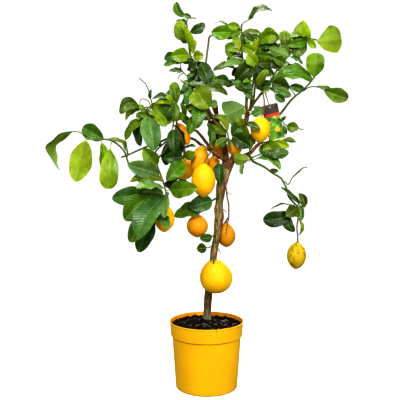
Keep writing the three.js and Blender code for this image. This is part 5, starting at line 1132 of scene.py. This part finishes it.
def makeLeaf(side):
    common = leafFinish
    spec = leafFinish[side]
    material, add = newMaterial(spec["name"])
    place = add("TexCoord", {}).outputs["Object"]
    blade = add("Attribute", {}, attribute_name="place").outputs["Vector"]
    tint = add("Attribute", {}, attribute_name="tint").outputs["Vector"]
    parts = add("SeparateXYZ", {"Vector": blade})
    out = add("Math", {0: parts.outputs["Y"]}, operation="ABSOLUTE")
    wander = add("TexNoise", {"Vector": place, "Scale": drawnAt(common["mottleSize"]), "Detail": 4.0})

    # side veins slant towards the tip and wander a little
    slanted = add("Math", {
        0: out, 1: -common["veinSlant"], 2: parts.outputs["X"]}, operation="MULTIPLY_ADD")
    wandering = add("Math", {0: wander, 1: common["veinWander"], 2: slanted}, operation="MULTIPLY_ADD")
    away = add("Math", {0: wandering, 1: common["veinSpacing"] / 2}, operation="PINGPONG")
    vein = add("MapRange", {
        "Value": away, "From Min": 0.0, "From Max": common["veinWidth"], "To Min": 1.0, "To Max": 0.0},
        interpolation_type="SMOOTHSTEP")
    midrib = add("MapRange", {
        "Value": out, "From Min": 0.25, "From Max": common["midribWidth"], "To Min": 1.0,
        "To Max": 0.0}, interpolation_type="SMOOTHSTEP")

    mottled = add("MapRange", {
        "Value": wander, "From Min": 0.3, "From Max": 0.7, "To Min": 0.8, "To Max": 1.22})
    toned = add("VectorMath", {0: tint, "Scale": mottled}, operation="SCALE")
    washed = add("Mix", {0: spec["washShare"], 6: toned, 7: rgba(spec["wash"])}, data_type="RGBA")
    colour = washed
    for mark, strength in ((vein, "veinShare"), (midrib, "midribShare")):
        share = add("Math", {0: mark, 1: spec[strength]}, operation="MULTIPLY")
        colour = add("Mix", {0: share, 6: colour.outputs[2], 7: rgba(spec["vein"])}, data_type="RGBA")

    cells = add("TexNoise", {"Vector": place, "Scale": drawnAt(common["cellSize"]), "Detail": 3.0})
    quilt = add("MapRange", {
        "Value": away, "From Max": common["veinSpacing"] / 2, "To Max": common["quilting"]},
        interpolation_type="SMOOTHSTEP")
    ribs = add("Math", {0: vein, 1: midrib}, operation="MAXIMUM")
    quilted = add("Math", {0: cells, 1: spec["blister"], 2: quilt}, operation="MULTIPLY_ADD")
    relief = add("Math", {0: ribs, 1: spec["relief"], 2: quilted}, operation="MULTIPLY_ADD")
    bumped = add("Bump", {"Height": relief, "Strength": 1.0, "Distance": 0.9 * millimetre})
    gloss = add("MapRange", {
        "Value": wander, "From Min": 0.3, "From Max": 0.7, "To Min": spec["rough"],
        "To Max": spec["matt"]})
    shader = add("BsdfPrincipled", {
        "Base Color": colour.outputs[2], "Roughness": gloss, "IOR": 1.45, "Normal": bumped})
    add("OutputMaterial", {"Surface": shader})
    return material


# Lemon rind: waxy, with oil pores that pit the skin, greener at the neck and the nipple, and
# browned where it has been rubbed.
rindFinish = {
    "green": "#a9b03a",
    "brown": "#6e4c10",
    "poreSize": 2.6,       # real pores are 1 to 1.5 mm apart, drawn coarser
    "mottleSize": 22,
    "scarSize": 9,
    "softness": 0.12,      # how much light goes under the skin, and how deep in mm
    "softDepth": 3,
}


def makeRind():
    spec = rindFinish
    material, add = newMaterial("waxyLemonRind")
    place = add("TexCoord", {}).outputs["Object"]
    fruit = add("Attribute", {}, attribute_name="place").outputs["Vector"]
    tint = add("Attribute", {}, attribute_name="tint").outputs["Vector"]
    parts = add("SeparateXYZ", {"Vector": fruit})
    height = parts.outputs["X"]
    mottle = add("TexNoise", {
        "Vector": place, "Scale": drawnAt(spec["mottleSize"]), "Detail": 5.0, "Roughness": 0.6})
    tone = add("MapRange", {
        "Value": mottle, "From Min": 0.3, "From Max": 0.7, "To Min": 0.88, "To Max": 1.07})
    toned = add("VectorMath", {0: tint, "Scale": tone}, operation="SCALE")
    uneven = add("Math", {0: mottle, 1: 0.12, 2: height}, operation="MULTIPLY_ADD")
    neck = add("MapRange", {"Value": uneven, "From Min": 0.96, "From Max": 1.07, "To Max": 0.6})
    nipple = add("MapRange", {
        "Value": uneven, "From Min": 0.06, "From Max": 0.12, "To Min": 0.55, "To Max": 0.0})
    ends = add("Math", {0: neck, 1: nipple}, operation="MAXIMUM")
    greened = add("Mix", {0: ends, 6: toned, 7: rgba(spec["green"])}, data_type="RGBA")
    scar = add("TexNoise", {
        "Vector": place, "Scale": drawnAt(spec["scarSize"]), "Detail": 7.0, "Roughness": 0.7})
    # a fruit's own share of scars lowers the mark that the noise has to pass
    rubbed = add("Math", {0: scar, 1: parts.outputs["Y"]}, operation="ADD")
    scarred = add("MapRange", {"Value": rubbed, "From Min": 0.68, "From Max": 0.74, "To Max": 0.7})
    colour = add("Mix", {0: scarred, 6: greened.outputs[2], 7: rgba(spec["brown"])}, data_type="RGBA")
    pore = add("TexVoronoi", {"Vector": place, "Scale": drawnAt(spec["poreSize"])}, feature="SMOOTH_F1")
    pitted = add("Math", {0: pore, 1: 1.0, 2: mottle}, operation="MULTIPLY_ADD")
    bumped = add("Bump", {"Height": pitted, "Strength": 0.7, "Distance": 0.6 * millimetre})
    gloss = add("MapRange", {
        "Value": mottle, "From Min": 0.3, "From Max": 0.7, "To Min": 0.5, "To Max": 0.62})
    shader = add("BsdfPrincipled", {
        "Base Color": colour.outputs[2], "Roughness": gloss, "IOR": 1.46, "Normal": bumped,
        "Subsurface Weight": spec["softness"], "Subsurface Radius": (1.0, 0.55, 0.1),
        "Subsurface Scale": spec["softDepth"] * millimetre})
    add("OutputMaterial", {"Surface": shader})
    return material


# Printed polypropylene card: flat inks under a satin skin. The print is a brown head, a red
# stripe and a soft green ground with loose round spots, left bare at the foot.
cardFinish = {
    "ground": "#3a2a18", "stripe": "#b8321c", "field": "#2c6a18", "fieldPale": "#86b436",
    "spot": "#ee8420", "spotPale": "#f4c422", "bare": "#e9e4cf",
    "stripeFrom": -24, "fieldFrom": -32, "fieldTo": -92, "fieldSize": 16,
    "spotSpacing": 21, "spotReach": 0.36,      # in mm, and as a share of the spacing
    "spotSoft": 0.04,
    "inkEdge": 0.3, "wearSize": 8,
}


def makeCardPrint():
    spec = cardFinish
    material, add = newMaterial("printedPlasticCard")
    card = add("Attribute", {}, attribute_name="place").outputs["Vector"]
    parts = add("SeparateXYZ", {"Vector": card})
    place = add("TexCoord", {}).outputs["Object"]
    cell = add("TexVoronoi", {"Vector": card, "Scale": 1 / spec["spotSpacing"], "Randomness": 0.8})
    spot = add("MapRange", {
        "Value": cell, "From Min": spec["spotReach"] - spec["spotSoft"], "From Max": spec["spotReach"],
        "To Min": 1.0, "To Max": 0.0})
    soft = add("TexNoise", {"Vector": card, "Scale": 1 / spec["fieldSize"], "Detail": 3.0})
    softened = add("MapRange", {"Value": soft, "From Min": 0.38, "From Max": 0.62})
    green = add("Mix", {
        0: softened, 6: rgba(spec["field"]), 7: rgba(spec["fieldPale"])}, data_type="RGBA")
    ripe = add("Mix", {0: softened, 6: rgba(spec["spot"]), 7: rgba(spec["spotPale"])}, data_type="RGBA")
    printed = add("Mix", {0: spot, 6: green.outputs[2], 7: ripe.outputs[2]}, data_type="RGBA")
    # from the head down, each ink begins below its edge
    inks = {
        "stripeFrom": rgba(spec["stripe"]), "fieldFrom": printed.outputs[2],
        "fieldTo": rgba(spec["bare"])}
    colour = rgba(spec["ground"])
    for edge, ink in inks.items():
        below = add("MapRange", {
            "Value": parts.outputs["Y"], "From Min": spec[edge] - spec["inkEdge"],
            "From Max": spec[edge], "To Min": 1.0, "To Max": 0.0})
        colour = add("Mix", {0: below, 6: colour, 7: ink}, data_type="RGBA").outputs[2]
    wear = add("TexNoise", {"Vector": place, "Scale": drawnAt(spec["wearSize"]), "Detail": 5.0})
    gloss = add("MapRange", {
        "Value": wear, "From Min": 0.3, "From Max": 0.7, "To Min": 0.3, "To Max": 0.45})
    bumped = add("Bump", {"Height": wear, "Strength": 0.2, "Distance": 0.3 * millimetre})
    shader = add("BsdfPrincipled", {"Base Color": colour, "Roughness": gloss, "Normal": bumped})
    add("OutputMaterial", {"Surface": shader})
    return material


lemonSpec = {
    "around": 40,
    "rows": 34,
    "unevenSize": 26.0,    # mm
    "unevenRise": 0.035,   # share of the radius
    "dimpleSize": 5.0,
    "dimpleRise": 0.006,
    "rowSpan": (3, 176),   # degrees from the nipple to the neck
    "bodyShare": 0.9,      # of half the length, the rest is nipple and neck
    "plump": 1.08,         # 1 is an ellipse, more draws the ends in
    "nipple": (0.06, 22),  # rise as a share of half the length, and spread in degrees
    "neck": (0.06, 26),
    "calyxUp": 0.95,       # share of half the length
    "calyxLobes": 5,
    "lobeDepth": 0.22,
    "calyxShare": 0.1,     # of the fruit's width
    "calyxLeast": 2.6,     # mm
    "calyxRings": ((0.25, 1.9), (0.6, 1.5), (1.0, 0.2), (0.98, -0.5), (0.3, -1.4)),   # reach, lift
}
# painted light: gold is brighter than a rind's own colour, standing in for light on lemons in the crown's
# shade
lemonTones = {
    "bright": "#e8b800", "deep": "#e4aa08", "amber": "#d89a08", "gold": "#f6c81c", "green": "#c4a80c",
}


def buildLemon(name, spec, materials):
    shape = newShape()
    taper = spec.get("taper", 0)        # above 0 narrows the stalk's end
    scale = (spec["centre"][2] - eye[1]) / -eye[1]
    half = spec["length"] * scale / 2
    radius = spec["width"] * scale / 2
    centre = seen(*spec["centre"])
    axis = unit(np.array(spec["lean"], float))
    across = unit(np.cross([0, 1, 0.2], axis))
    other = np.cross(axis, across)
    draw = random.Random(name)
    seed = draw.uniform(0, 50)
    angles = turnsRound(lemonSpec["around"])
    nippleRise, nippleSpread = lemonSpec["nipple"]
    neckRise, neckSpread = lemonSpec["neck"]
    rings = []
    for degrees in np.linspace(*lemonSpec["rowSpan"], lemonSpec["rows"]):
        turn = math.radians(degrees)
        nipple = nippleRise * half * math.exp(-((degrees / nippleSpread) ** 2))
        neck = neckRise * half * math.exp(-(((180 - degrees) / neckSpread) ** 2))
        height = -math.cos(turn) * half * lemonSpec["bodyShare"] - nipple + neck
        girth = radius * math.sin(turn) ** lemonSpec["plump"] * (1 + taper * math.cos(turn))
        ring = []
        for angle in angles:
            outward = across * math.cos(angle) + other * math.sin(angle)
            spot = centre + axis * height + outward * girth
            uneven = lemonSpec["unevenRise"] * noiseAt(spot, lemonSpec["unevenSize"], seed)
            dimple = lemonSpec["dimpleRise"] * noiseAt(spot, lemonSpec["dimpleSize"], seed)
            ring.append(spot + outward * girth * (uneven + dimple))
        rings.append(ring)
    rings = np.array(rings)
    place = np.zeros(rings.shape)
    place[:, :, 0] = np.linspace(0, 1, len(rings))[:, None]
    place[:, :, 1] = spec.get("scars", 0)
    hue = np.array(toLinear(lemonTones[spec["tone"]])) * draw.uniform(0.96, 1.04)
    addSkin(shape, rings, 0, place, hue)

    # calyx: a small star of green lobes under the stalk
    top = centre + axis * half * lemonSpec["calyxUp"]
    reach = max(lemonSpec["calyxLeast"], radius * 2 * lemonSpec["calyxShare"])
    lobeDepth = lemonSpec["lobeDepth"]
    star = []
    for share, lift in lemonSpec["calyxRings"]:
        ring = []
        for angle in angles:
            lobe = 1 - lobeDepth + lobeDepth * math.cos(angle * lemonSpec["calyxLobes"] + seed)
            outward = across * math.cos(angle) + other * math.sin(angle)
            fall = axis * (lift - 0.12 * reach * share ** 2)
            ring.append(top + outward * reach * share * (lobe if share > 0.5 else 1) + fall)
        star.append(ring)
    addSkin(shape, np.array(star)[::-1], 1)
    addTwig(shape, spec["stalk"], seed, finish=2, young=0.3)
    makePiece(f"{name}_fruit", shape, materials, name, sharp=50)


trunkSpec = {
    "sides": 44,
    "ridgeCount": 7,
    "ridgeRise": 0.035,
    "ridgeWander": (1.2, 40),   # how far the ridges stray, and over how many mm
    "ridgeTurn": 0.012,         # how fast they wind up the stem
    "coarseSize": 26.0,
    "coarseRise": 0.10,
    "fineSize": 5.0,
    "fineRise": 0.035,
    "fineDraw": (1, 1, 0.45),   # drawn out up the stem
    # pruned buds and bosses: up in mm, angle round the stem (270 faces the front), rise, size
    "knots": [
        (202, 300, 1.6, 8), (250, 205, 1.4, 7), (340, 250, 1.5, 8), (380, 320, 1.6, 9),
        (434, 350, 2.6, 15), (458, 200, 2.0, 10), (508, 262, 2.4, 12), (536, 330, 2.8, 12),
        (548, 210, 2.6, 13), (224, 20, 1.6, 9), (318, 95, 1.8, 9), (418, 120, 2.2, 12),
    ],
}


def buildTrunk(materials):
    shape = newShape()
    path = smoothRoute(trunkRoute, 10)
    points, radii = path[:, :3], path[:, 3]
    angles = turnsRound(trunkSpec["sides"])
    rings = np.zeros((len(points), len(angles), 3))
    place = np.zeros(rings.shape)
    stray, straySize = trunkSpec["ridgeWander"]
    for row, (point, radius) in enumerate(zip(points, radii)):
        for column, angle in enumerate(angles):
            outward = np.array([math.cos(angle), math.sin(angle), 0])
            spot = point + outward * radius
            wander = stray * noiseAt(spot, straySize, 3) + point[2] * trunkSpec["ridgeTurn"]
            ridge = math.sin(angle * trunkSpec["ridgeCount"] + wander * 3) * trunkSpec["ridgeRise"]
            coarse = noiseAt(spot, trunkSpec["coarseSize"], 5) * trunkSpec["coarseRise"]
            drawn = spot * np.array(trunkSpec["fineDraw"])
            fine = noiseAt(drawn, trunkSpec["fineSize"], 8) * trunkSpec["fineRise"]
            boss = 0
            for up, degrees, rise, size in trunkSpec["knots"]:
                gapUp = (point[2] - up) / size
                turn = (angle - math.radians(degrees) + math.pi) % (2 * math.pi) - math.pi
                boss += rise * math.exp(-(gapUp ** 2) - (turn * radius / size) ** 2)
            rings[row, column] = point + outward * (radius * (1 + ridge + coarse + fine) + boss)
            place[row, column] = (point[2], angle, boss)
    addSkin(shape, rings, 0, place)
    for index, route in enumerate(rootRoutes + spurRoutes):
        addTwig(shape, route, index, sides=10)
    makePiece("trunk_bark", shape, materials, "trunk", sharp=70)


potSpec = {
    "height": 170, "rimRadius": 96, "bandHeight": 37, "bandRadius": 92.3, "neckRadius": 89.3,
    "footRadius": 79, "wall": 2.4, "floor": 3, "channelInner": 44, "channelOuter": 63,
    "channelRise": 3, "drainRadius": 4.5, "drainCount": 6,
    "segments": 160,
    "lipDepth": 4.2, "lipRound": (1.6, 1.8),
    "drillReach": (-6, 14),     # mm, from under the foot into the pot
    "grooveWidth": 0.7,
    "ringGrooves": [(127, 0.25), (121.5, 0.18), (86, 0.1), (50, 0.1)],   # height, depth in mm
}


def potOutline():
    pot = potSpec
    bandFoot = pot["height"] - pot["bandHeight"]
    outer = []
    for up in np.linspace(3, bandFoot - 1.2, 46):
        share = up / bandFoot
        radius = pot["footRadius"] + (pot["neckRadius"] - pot["footRadius"]) * share
        for groove, depth in pot["ringGrooves"]:
            radius -= depth * math.exp(-((up - groove) / pot["grooveWidth"]) ** 2)
        outer.append((radius, up))
    foot = [(0, 0), (pot["channelInner"], 0), (pot["channelInner"] + 2, pot["channelRise"]),
            (pot["channelOuter"] - 2, pot["channelRise"]), (pot["channelOuter"], 0),
            (pot["footRadius"] - 2.5, 0), (pot["footRadius"] - 0.9, 0.5), (pot["footRadius"] - 0.1, 1.6)]
    step = [(pot["neckRadius"] + 0.4, bandFoot - 0.5), (pot["bandRadius"] - 0.9, bandFoot - 0.3),
            (pot["bandRadius"] - 0.1, bandFoot + 0.6)]
    lipFoot = pot["height"] - pot["lipDepth"]
    band = [(pot["bandRadius"] + (pot["rimRadius"] - 1.1 - pot["bandRadius"]) * t,
             bandFoot + 2 + t * (lipFoot - bandFoot - 2)) for t in np.linspace(0, 1, 12)]
    lip = []
    lipWide, lipHigh = pot["lipRound"]
    centre = (pot["rimRadius"] - lipWide, pot["height"] - 1.9)
    for degrees in np.linspace(-50, 190, 14):
        angle = math.radians(degrees)
        lip.append((centre[0] + lipWide * math.cos(angle), centre[1] + lipHigh * math.sin(angle)))
    inner = [(pot["rimRadius"] - 3.4, pot["height"] - 5), (pot["bandRadius"] - pot["wall"], bandFoot + 4),
             (pot["neckRadius"] - pot["wall"], bandFoot - 2),
             (pot["footRadius"] - pot["wall"], pot["floor"] + pot["channelRise"]),
             (0, pot["floor"] + pot["channelRise"])]
    return foot + outer + step + band + lip + inner


def buildPot(materials):
    shape = newShape()
    outline = [spot for spot in potOutline() if spot[0] > 0]
    angles = turnsRound(potSpec["segments"])
    addSkin(shape, np.array([levelRing(radius, up, angles) for radius, up in outline]))
    shape["points"][0][-2:] = [[0, 0, 0], [0, 0, potSpec["floor"] + potSpec["channelRise"]]]
    piece = makePiece("pot_shell", shape, materials, "pot", sharp=35)
    drill = newShape()
    middle = (potSpec["channelInner"] + potSpec["channelOuter"]) / 2
    for index in range(potSpec["drainCount"]):
        turn = 2 * math.pi * (index + 0.5) / potSpec["drainCount"]
        hub = np.array([middle * math.cos(turn), middle * math.sin(turn), 0])
        tube = [levelRing(potSpec["drainRadius"], up, angles[::8]) for up in potSpec["drillReach"]]
        addSkin(drill, hub + np.array(tube))
    mesh = bpy.data.meshes.new("drill")
    mesh.from_pydata((np.vstack(drill["points"]) * millimetre).tolist(), [], drill["faces"])
    cutter = linkObject("drill", mesh)
    drain = piece.modifiers.new("drainHoles", "BOOLEAN")
    drain.object = cutter
    drain.operation = "DIFFERENCE"
    drain.solver = "EXACT"
    graph = bpy.context.evaluated_depsgraph_get()
    drilled = bpy.data.meshes.new_from_object(piece.evaluated_get(graph), depsgraph=graph)
    piece.modifiers.clear()
    piece.data = drilled
    bpy.data.objects.remove(cutter)


soilSpec = {
    "seed": 11, "rings": 34, "around": 120,
    "top": 155, "crown": 4, "backRise": 2.5, "sideRise": 4.5, "lump": 1.4,      # mm
    "mound": 10, "moundRadius": 30, "trunkBack": 14,    # heaped against the trunk's foot
    "grainSize": 5.5, "grainRise": 1.3,
    "crumbs": 620, "crumbRadius": (0.9, 3.2), "crumbShade": (0.7, 1.5),
    "fineness": 2.5,        # higher makes more of the crumbs small
    "stemClear": 13,        # no crumbs nearer to the middle than this
    "edgeCrumbs": 190, "edgeRadius": (1.6, 4.4), "edgeShade": (0.6, 1.3), "edgeReach": 12,
    "fibres": 42, "fibreLength": (6, 22), "fibreRadius": 0.42,
}


def soilHeight(x, y):
    rise = soilSpec["crown"] * (1 - math.hypot(x, y) / potSpec["rimRadius"])
    rise += soilSpec["backRise"] * y / potSpec["rimRadius"]
    fromTrunk = math.hypot(x, y - soilSpec["trunkBack"]) / soilSpec["moundRadius"]
    rise += soilSpec["mound"] * math.exp(-(fromTrunk ** 2))
    rise += soilSpec["sideRise"] * (x / potSpec["rimRadius"]) ** 4
    lumps = math.sin(x * 0.19 + 1) * math.cos(y * 0.23) + 0.6 * math.sin(x * 0.37 - y * 0.31)
    return soilSpec["top"] + rise + soilSpec["lump"] * lumps


def soilSurface(x, y):
    grain = noiseAt((x, y, 0), soilSpec["grainSize"], 2) + 0.5 * noiseAt((x, y, 9), 2.4, 4)
    return soilHeight(x, y) + soilSpec["grainRise"] * grain


def addCrumb(shape, reach, turn, lift, radius, shade, seed):
    x, y = reach * math.cos(turn), reach * math.sin(turn)
    centre = np.array([x, y, soilSurface(x, y) + lift])
    golden = math.pi * (3 - math.sqrt(5))
    rows = []
    for level in (-0.86, -0.4, 0.15, 0.62, 0.93):
        girth = math.sqrt(1 - level ** 2)
        ring = []
        for step in range(7):
            angle = 2 * math.pi * step / 7 + golden * level
            way = np.array([girth * math.cos(angle), girth * math.sin(angle), level * 0.8])
            ring.append(centre + way * radius * (1 + 0.5 * noiseAt(way * 3 + centre, 2.0, seed)))
        rows.append(ring)
    addSkin(shape, np.array(rows), tint=(shade, shade, shade))


def buildSoil(materials):
    shape = newShape()
    pot = potSpec
    bandFoot = pot["height"] - pot["bandHeight"]
    angles = turnsRound(soilSpec["around"])
    rimAtTop = pot["bandRadius"] - pot["wall"]
    rimAtTop += (pot["rimRadius"] - pot["bandRadius"]) * (soilSpec["top"] - bandFoot) / pot["bandHeight"]
    floorUp = pot["floor"] + pot["channelRise"] + 0.3
    sides = [(pot["footRadius"] - pot["wall"] - 1.2, floorUp),
             (pot["neckRadius"] - pot["wall"] - 0.6, bandFoot - 2),
             (pot["bandRadius"] - pot["wall"] - 0.6, bandFoot + 4.5)]
    rings = [levelRing(radius, up, angles) for radius, up in sides]
    for radius in np.linspace(rimAtTop - 0.7, 1.5, soilSpec["rings"]):
        rings.append([(x, y, soilSurface(x, y)) for x, y, _ in levelRing(radius, 0, angles)])
    addSkin(shape, np.array(rings))
    draw = random.Random(soilSpec["seed"])
    fine, coarse = soilSpec["crumbRadius"]
    for index in range(soilSpec["crumbs"]):
        reach = math.sqrt(draw.uniform((soilSpec["stemClear"] / rimAtTop) ** 2, 1)) * (rimAtTop - 4)
        turn = draw.uniform(0, 2 * math.pi)
        radius = fine + draw.random() ** soilSpec["fineness"] * (coarse - fine)
        shade = draw.uniform(*soilSpec["crumbShade"])
        addCrumb(shape, reach, turn, 0.3 * radius, radius, shade, index)
    # coarser lumps lie against the wall
    for index in range(soilSpec["edgeCrumbs"]):
        turn = draw.uniform(0, 2 * math.pi)
        radius = draw.uniform(*soilSpec["edgeRadius"])
        reach = rimAtTop - 1.5 - radius - draw.uniform(0, soilSpec["edgeReach"]) * draw.random()
        lift = radius * draw.uniform(0, 0.7)
        shade = draw.uniform(*soilSpec["edgeShade"])
        addCrumb(shape, reach, turn, lift, radius, shade, index + 7)
    for index in range(soilSpec["fibres"]):
        reach = math.sqrt(draw.uniform(0.03, 1)) * (rimAtTop - 12)
        turn, heading = draw.uniform(0, 2 * math.pi), draw.uniform(0, 2 * math.pi)
        size = draw.uniform(*soilSpec["fibreLength"])
        spots = []
        for step in (-0.5, -0.15, 0.2, 0.5):
            x = reach * math.cos(turn) + size * step * math.cos(heading + step)
            y = reach * math.sin(turn) + size * step * math.sin(heading + step)
            spots.append([x, y, soilSurface(x, y) + 0.9])
        spots = np.array(spots)
        ways = squareFrames(spots)
        thin = soilSpec["fibreRadius"] * draw.uniform(0.7, 1.6)
        rows = [[spot + thin * (a * math.cos(t) + b * math.sin(t)) for t in turnsRound(5)]
                for spot, (a, b) in zip(spots, ways)]
        addSkin(shape, np.array(rows), 1)
    makePiece("compost_crumbs", shape, materials, "soil", sharp=80)


labelSpec = {
    "top": [163, 742, 4], "foot": [184, 651, 2],    # where it hangs
    "width": 42, "height": 100, "thickness": 0.8, "corner": 4, "hole": 2.5, "holeInset": 7,
    "sag": 1.6,         # mm, how far its middle bulges
    "cornerSteps": 6,
}
tieSpec = {
    "twig": [150, 780, 12],     # the twig that it goes over
    "atHole": 1.6, "bow": 2.5, "atTwig": 4.6,       # mm, how far each side stands off the middle
    "radius": 0.7, "steps": 6, "around": 8,
}
labelTop, labelFoot = seen(*labelSpec["top"]), seen(*labelSpec["foot"])


def buildLabel(materials):
    spec = labelSpec
    shape = newShape()
    halfWidth, corner, foot = spec["width"] / 2, spec["corner"], spec["corner"] - spec["height"]
    corners = [(halfWidth - corner, -corner, 0), (corner - halfWidth, -corner, 90),
               (corner - halfWidth, foot, 180), (halfWidth - corner, foot, 270)]
    rim = []
    for cx, cy, begin in corners:
        for turn in np.linspace(begin, begin + 90, spec["cornerSteps"]):
            angle = math.radians(turn)
            rim.append((cx + corner * math.cos(angle), cy + corner * math.sin(angle)))
    hole = []
    for spot in rim:
        angle = math.atan2(spot[1] + spec["holeInset"], spot[0])
        down = spec["hole"] * math.sin(angle) - spec["holeInset"]
        hole.append((spec["hole"] * math.cos(angle), down))
    up = unit(labelTop - labelFoot)
    facing = unit(np.array([-0.12, -1, 0]))
    across = unit(np.cross(up, facing))
    out = np.cross(across, up)
    skin = spec["thickness"] / 2
    layers = [(hole, skin), (rim, skin), (rim, -skin), (hole, -skin)]
    points, place = [], []
    for outline, depth in layers:
        for u, v in outline:
            bulge = math.sin(math.pi * -v / spec["height"]) * (1 - 0.3 * (u / halfWidth) ** 2)
            points.append(labelTop + across * u + up * v + out * (depth + spec["sag"] * bulge))
            place.append((u, v, depth))
    faces = hoopFaces(len(layers), len(rim))
    addMesh(shape, points, [face[::-1] for face in faces], place)
    makePiece("plant_label_card", shape, materials, "plant_label", sharp=30)


def buildTie(materials):
    hole = labelTop + (labelFoot - labelTop) * labelSpec["holeInset"] / labelSpec["height"]
    twig = seen(*tieSpec["twig"])
    front = np.array([0, -1, 0])
    middle = (hole + twig) / 2
    atHole, bow, atTwig = (front * tieSpec[key] for key in ("atHole", "bow", "atTwig"))
    knots = np.array([
        hole + atHole + [0, 0, 1.5], middle + bow, twig + atTwig, twig + [-2.6, -2.6, 2.8],
        twig + [-2.6, 2.6, 2.8], twig - atTwig, middle - bow, hole - atHole + [0, 0, 1.5], hole])
    spots = curveThrough(np.vstack([knots[-1:], knots, knots[:2]]), tieSpec["steps"])
    points = []
    for spot, (across, other) in zip(spots, squareFrames(spots, closed=True)):
        for turn in turnsRound(tieSpec["around"]):
            outward = across * math.cos(turn) + other * math.sin(turn)
            points.append(spot + tieSpec["radius"] * outward)
    shape = newShape()
    addMesh(shape, points, hoopFaces(len(spots), tieSpec["around"]))
    makePiece("label_tie_wire", shape, materials, "label_tie")


def buildBranch(name, branch, materials):
    shape = newShape()
    pruned = 3 if name in woodSpec["bareWood"] else None
    young = woodSpec["bareWood"].get(name, 1)
    for index, route in enumerate(branch["wood"]):
        addTwig(shape, route, index, tipFinish=pruned, young=young)
    for index, entry in enumerate(branch["leaves"]):
        addLeaf(shape, branch["wood"], entry, f"{name} {index}")
    makePiece(f"{name}_grown", shape, materials, name, sharp=75)


# Studio: pale paper below and behind, the key light just above the camera, and a look with
# strong contrast.
studio = {
    "paper": "#fdfdfc",
    "toothSize": 4,        # mm, the paper's tooth, drawn coarser
    "look": "Very High Contrast",
    "worldStrength": 0.27,
    "floor": "#ecece9",
    "floorGlow": 0.24,
    "backdropStrength": 0.64,
    # name: place in metres, point it faces, size in metres, watts
    "lamps": {
        "keySoftbox": ((-0.35, -2.1, 1.7), (0, 0, 0.45), 0.8, 31),
        "leftSoftbox": ((-1.7, -0.9, 2.0), (0, 0, 0.75), 0.6, 5),
        "fillSoftbox": ((1.3, -1.7, 1.1), (0, 0, 0.5), 1.2, 18),
        "topSoftbox": ((0.1, 0.2, 2.4), (0, 0, 0.5), 1.0, 22),
        "rearSoftbox": ((0.9, 2.2, 1.3), (0, 0, 0.4), 1.2, 14),
    },
}


def makePaper():
    material, add = newMaterial("whiteBackgroundPaper")
    place = add("TexCoord", {}).outputs["Object"]
    tooth = add("TexNoise", {"Vector": place, "Scale": drawnAt(studio["toothSize"]), "Detail": 3.0})
    bumped = add("Bump", {"Height": tooth, "Strength": 0.1, "Distance": 0.1 * millimetre})
    shader = add("BsdfPrincipled", {
        "Base Color": rgba(studio["floor"]), "Roughness": 0.9, "Specular IOR Level": 0.1,
        "Normal": bumped, "Emission Color": rgba(studio["paper"]),
        "Emission Strength": studio["floorGlow"]})
    add("OutputMaterial", {"Surface": shader})
    return material


def makeBacklitPaper():
    material, add = newMaterial("backlitPaper")
    glow = add("Emission", {"Color": rgba(studio["paper"]), "Strength": studio["backdropStrength"]})
    add("OutputMaterial", {"Surface": glow})
    return material


def addPlane(name, corners, material):
    mesh = bpy.data.meshes.new(name)
    mesh.from_pydata(corners, [], [(0, 1, 2, 3)])
    mesh.materials.append(material)
    plane = linkObject(name, mesh)
    return plane


def buildStudio():
    sweep = [
        addPlane("paperFloor", [(-6, -6, 0), (6, -6, 0), (6, 6, 0), (-6, 6, 0)], makePaper()),
        addPlane("paperBackdrop", [(-2, 2.5, -0.1), (2, 2.5, -0.1), (2, 2.5, 2.2), (-2, 2.5, 2.2)],
                 makeBacklitPaper()),
    ]
    # the paper is lit on its own, and its glow doesn't spill on the tree
    for paper in sweep:
        paper.visible_glossy = False
        paper.visible_diffuse = False
    world = bpy.data.worlds.new("studioWorld")
    world.use_nodes = True
    world.node_tree.nodes.clear()
    sky = addNode(world, "Background", {
        "Color": rgba("#ffffff"), "Strength": studio["worldStrength"]})
    addNode(world, "OutputWorld", {"Surface": sky})
    bpy.context.scene.world = world
    for name, (place, aim, size, watts) in studio["lamps"].items():
        lamp = bpy.data.lights.new(name, "AREA")
        lamp.size = size
        lamp.energy = watts
        holder = linkObject(name, lamp)
        holder.location = place
        holder.rotation_euler = (Vector(aim) - Vector(place)).to_track_quat("-Z", "Y").to_euler()
    bpy.context.scene.view_settings.view_transform = "Standard"
    bpy.context.scene.view_settings.look = studio["look"]


buildStudio()
print("studio set")

twigBark, leafUpper, leafUnder = makeTwigBark(), makeLeaf("upper"), makeLeaf("under")
rind, calyx, cutWood = makeRind(), makePlain("dullGreenCalyx"), makePlain("prunedWoodEnd")

buildPot([makePotPlastic()])
buildSoil([makeCompost(), makePlain("dryWoodFibre")])
print("pot and compost built")
buildTrunk([makeStemBark()])
print("trunk built")
for name, branch in {**limbs, **sprays}.items():
    buildBranch(name, branch, [twigBark, leafUpper, leafUnder, cutWood])
print("branches and leaves built:", len(limbs) + len(sprays))
for name, lemon in lemons.items():
    buildLemon(name, lemon, [rind, calyx, twigBark])
print("lemons built:", len(lemons))
buildLabel([makeCardPrint()])
buildTie([makePlain("plasticCoatedTieWire")])
print("label hung")

bpy.context.view_layer.update()
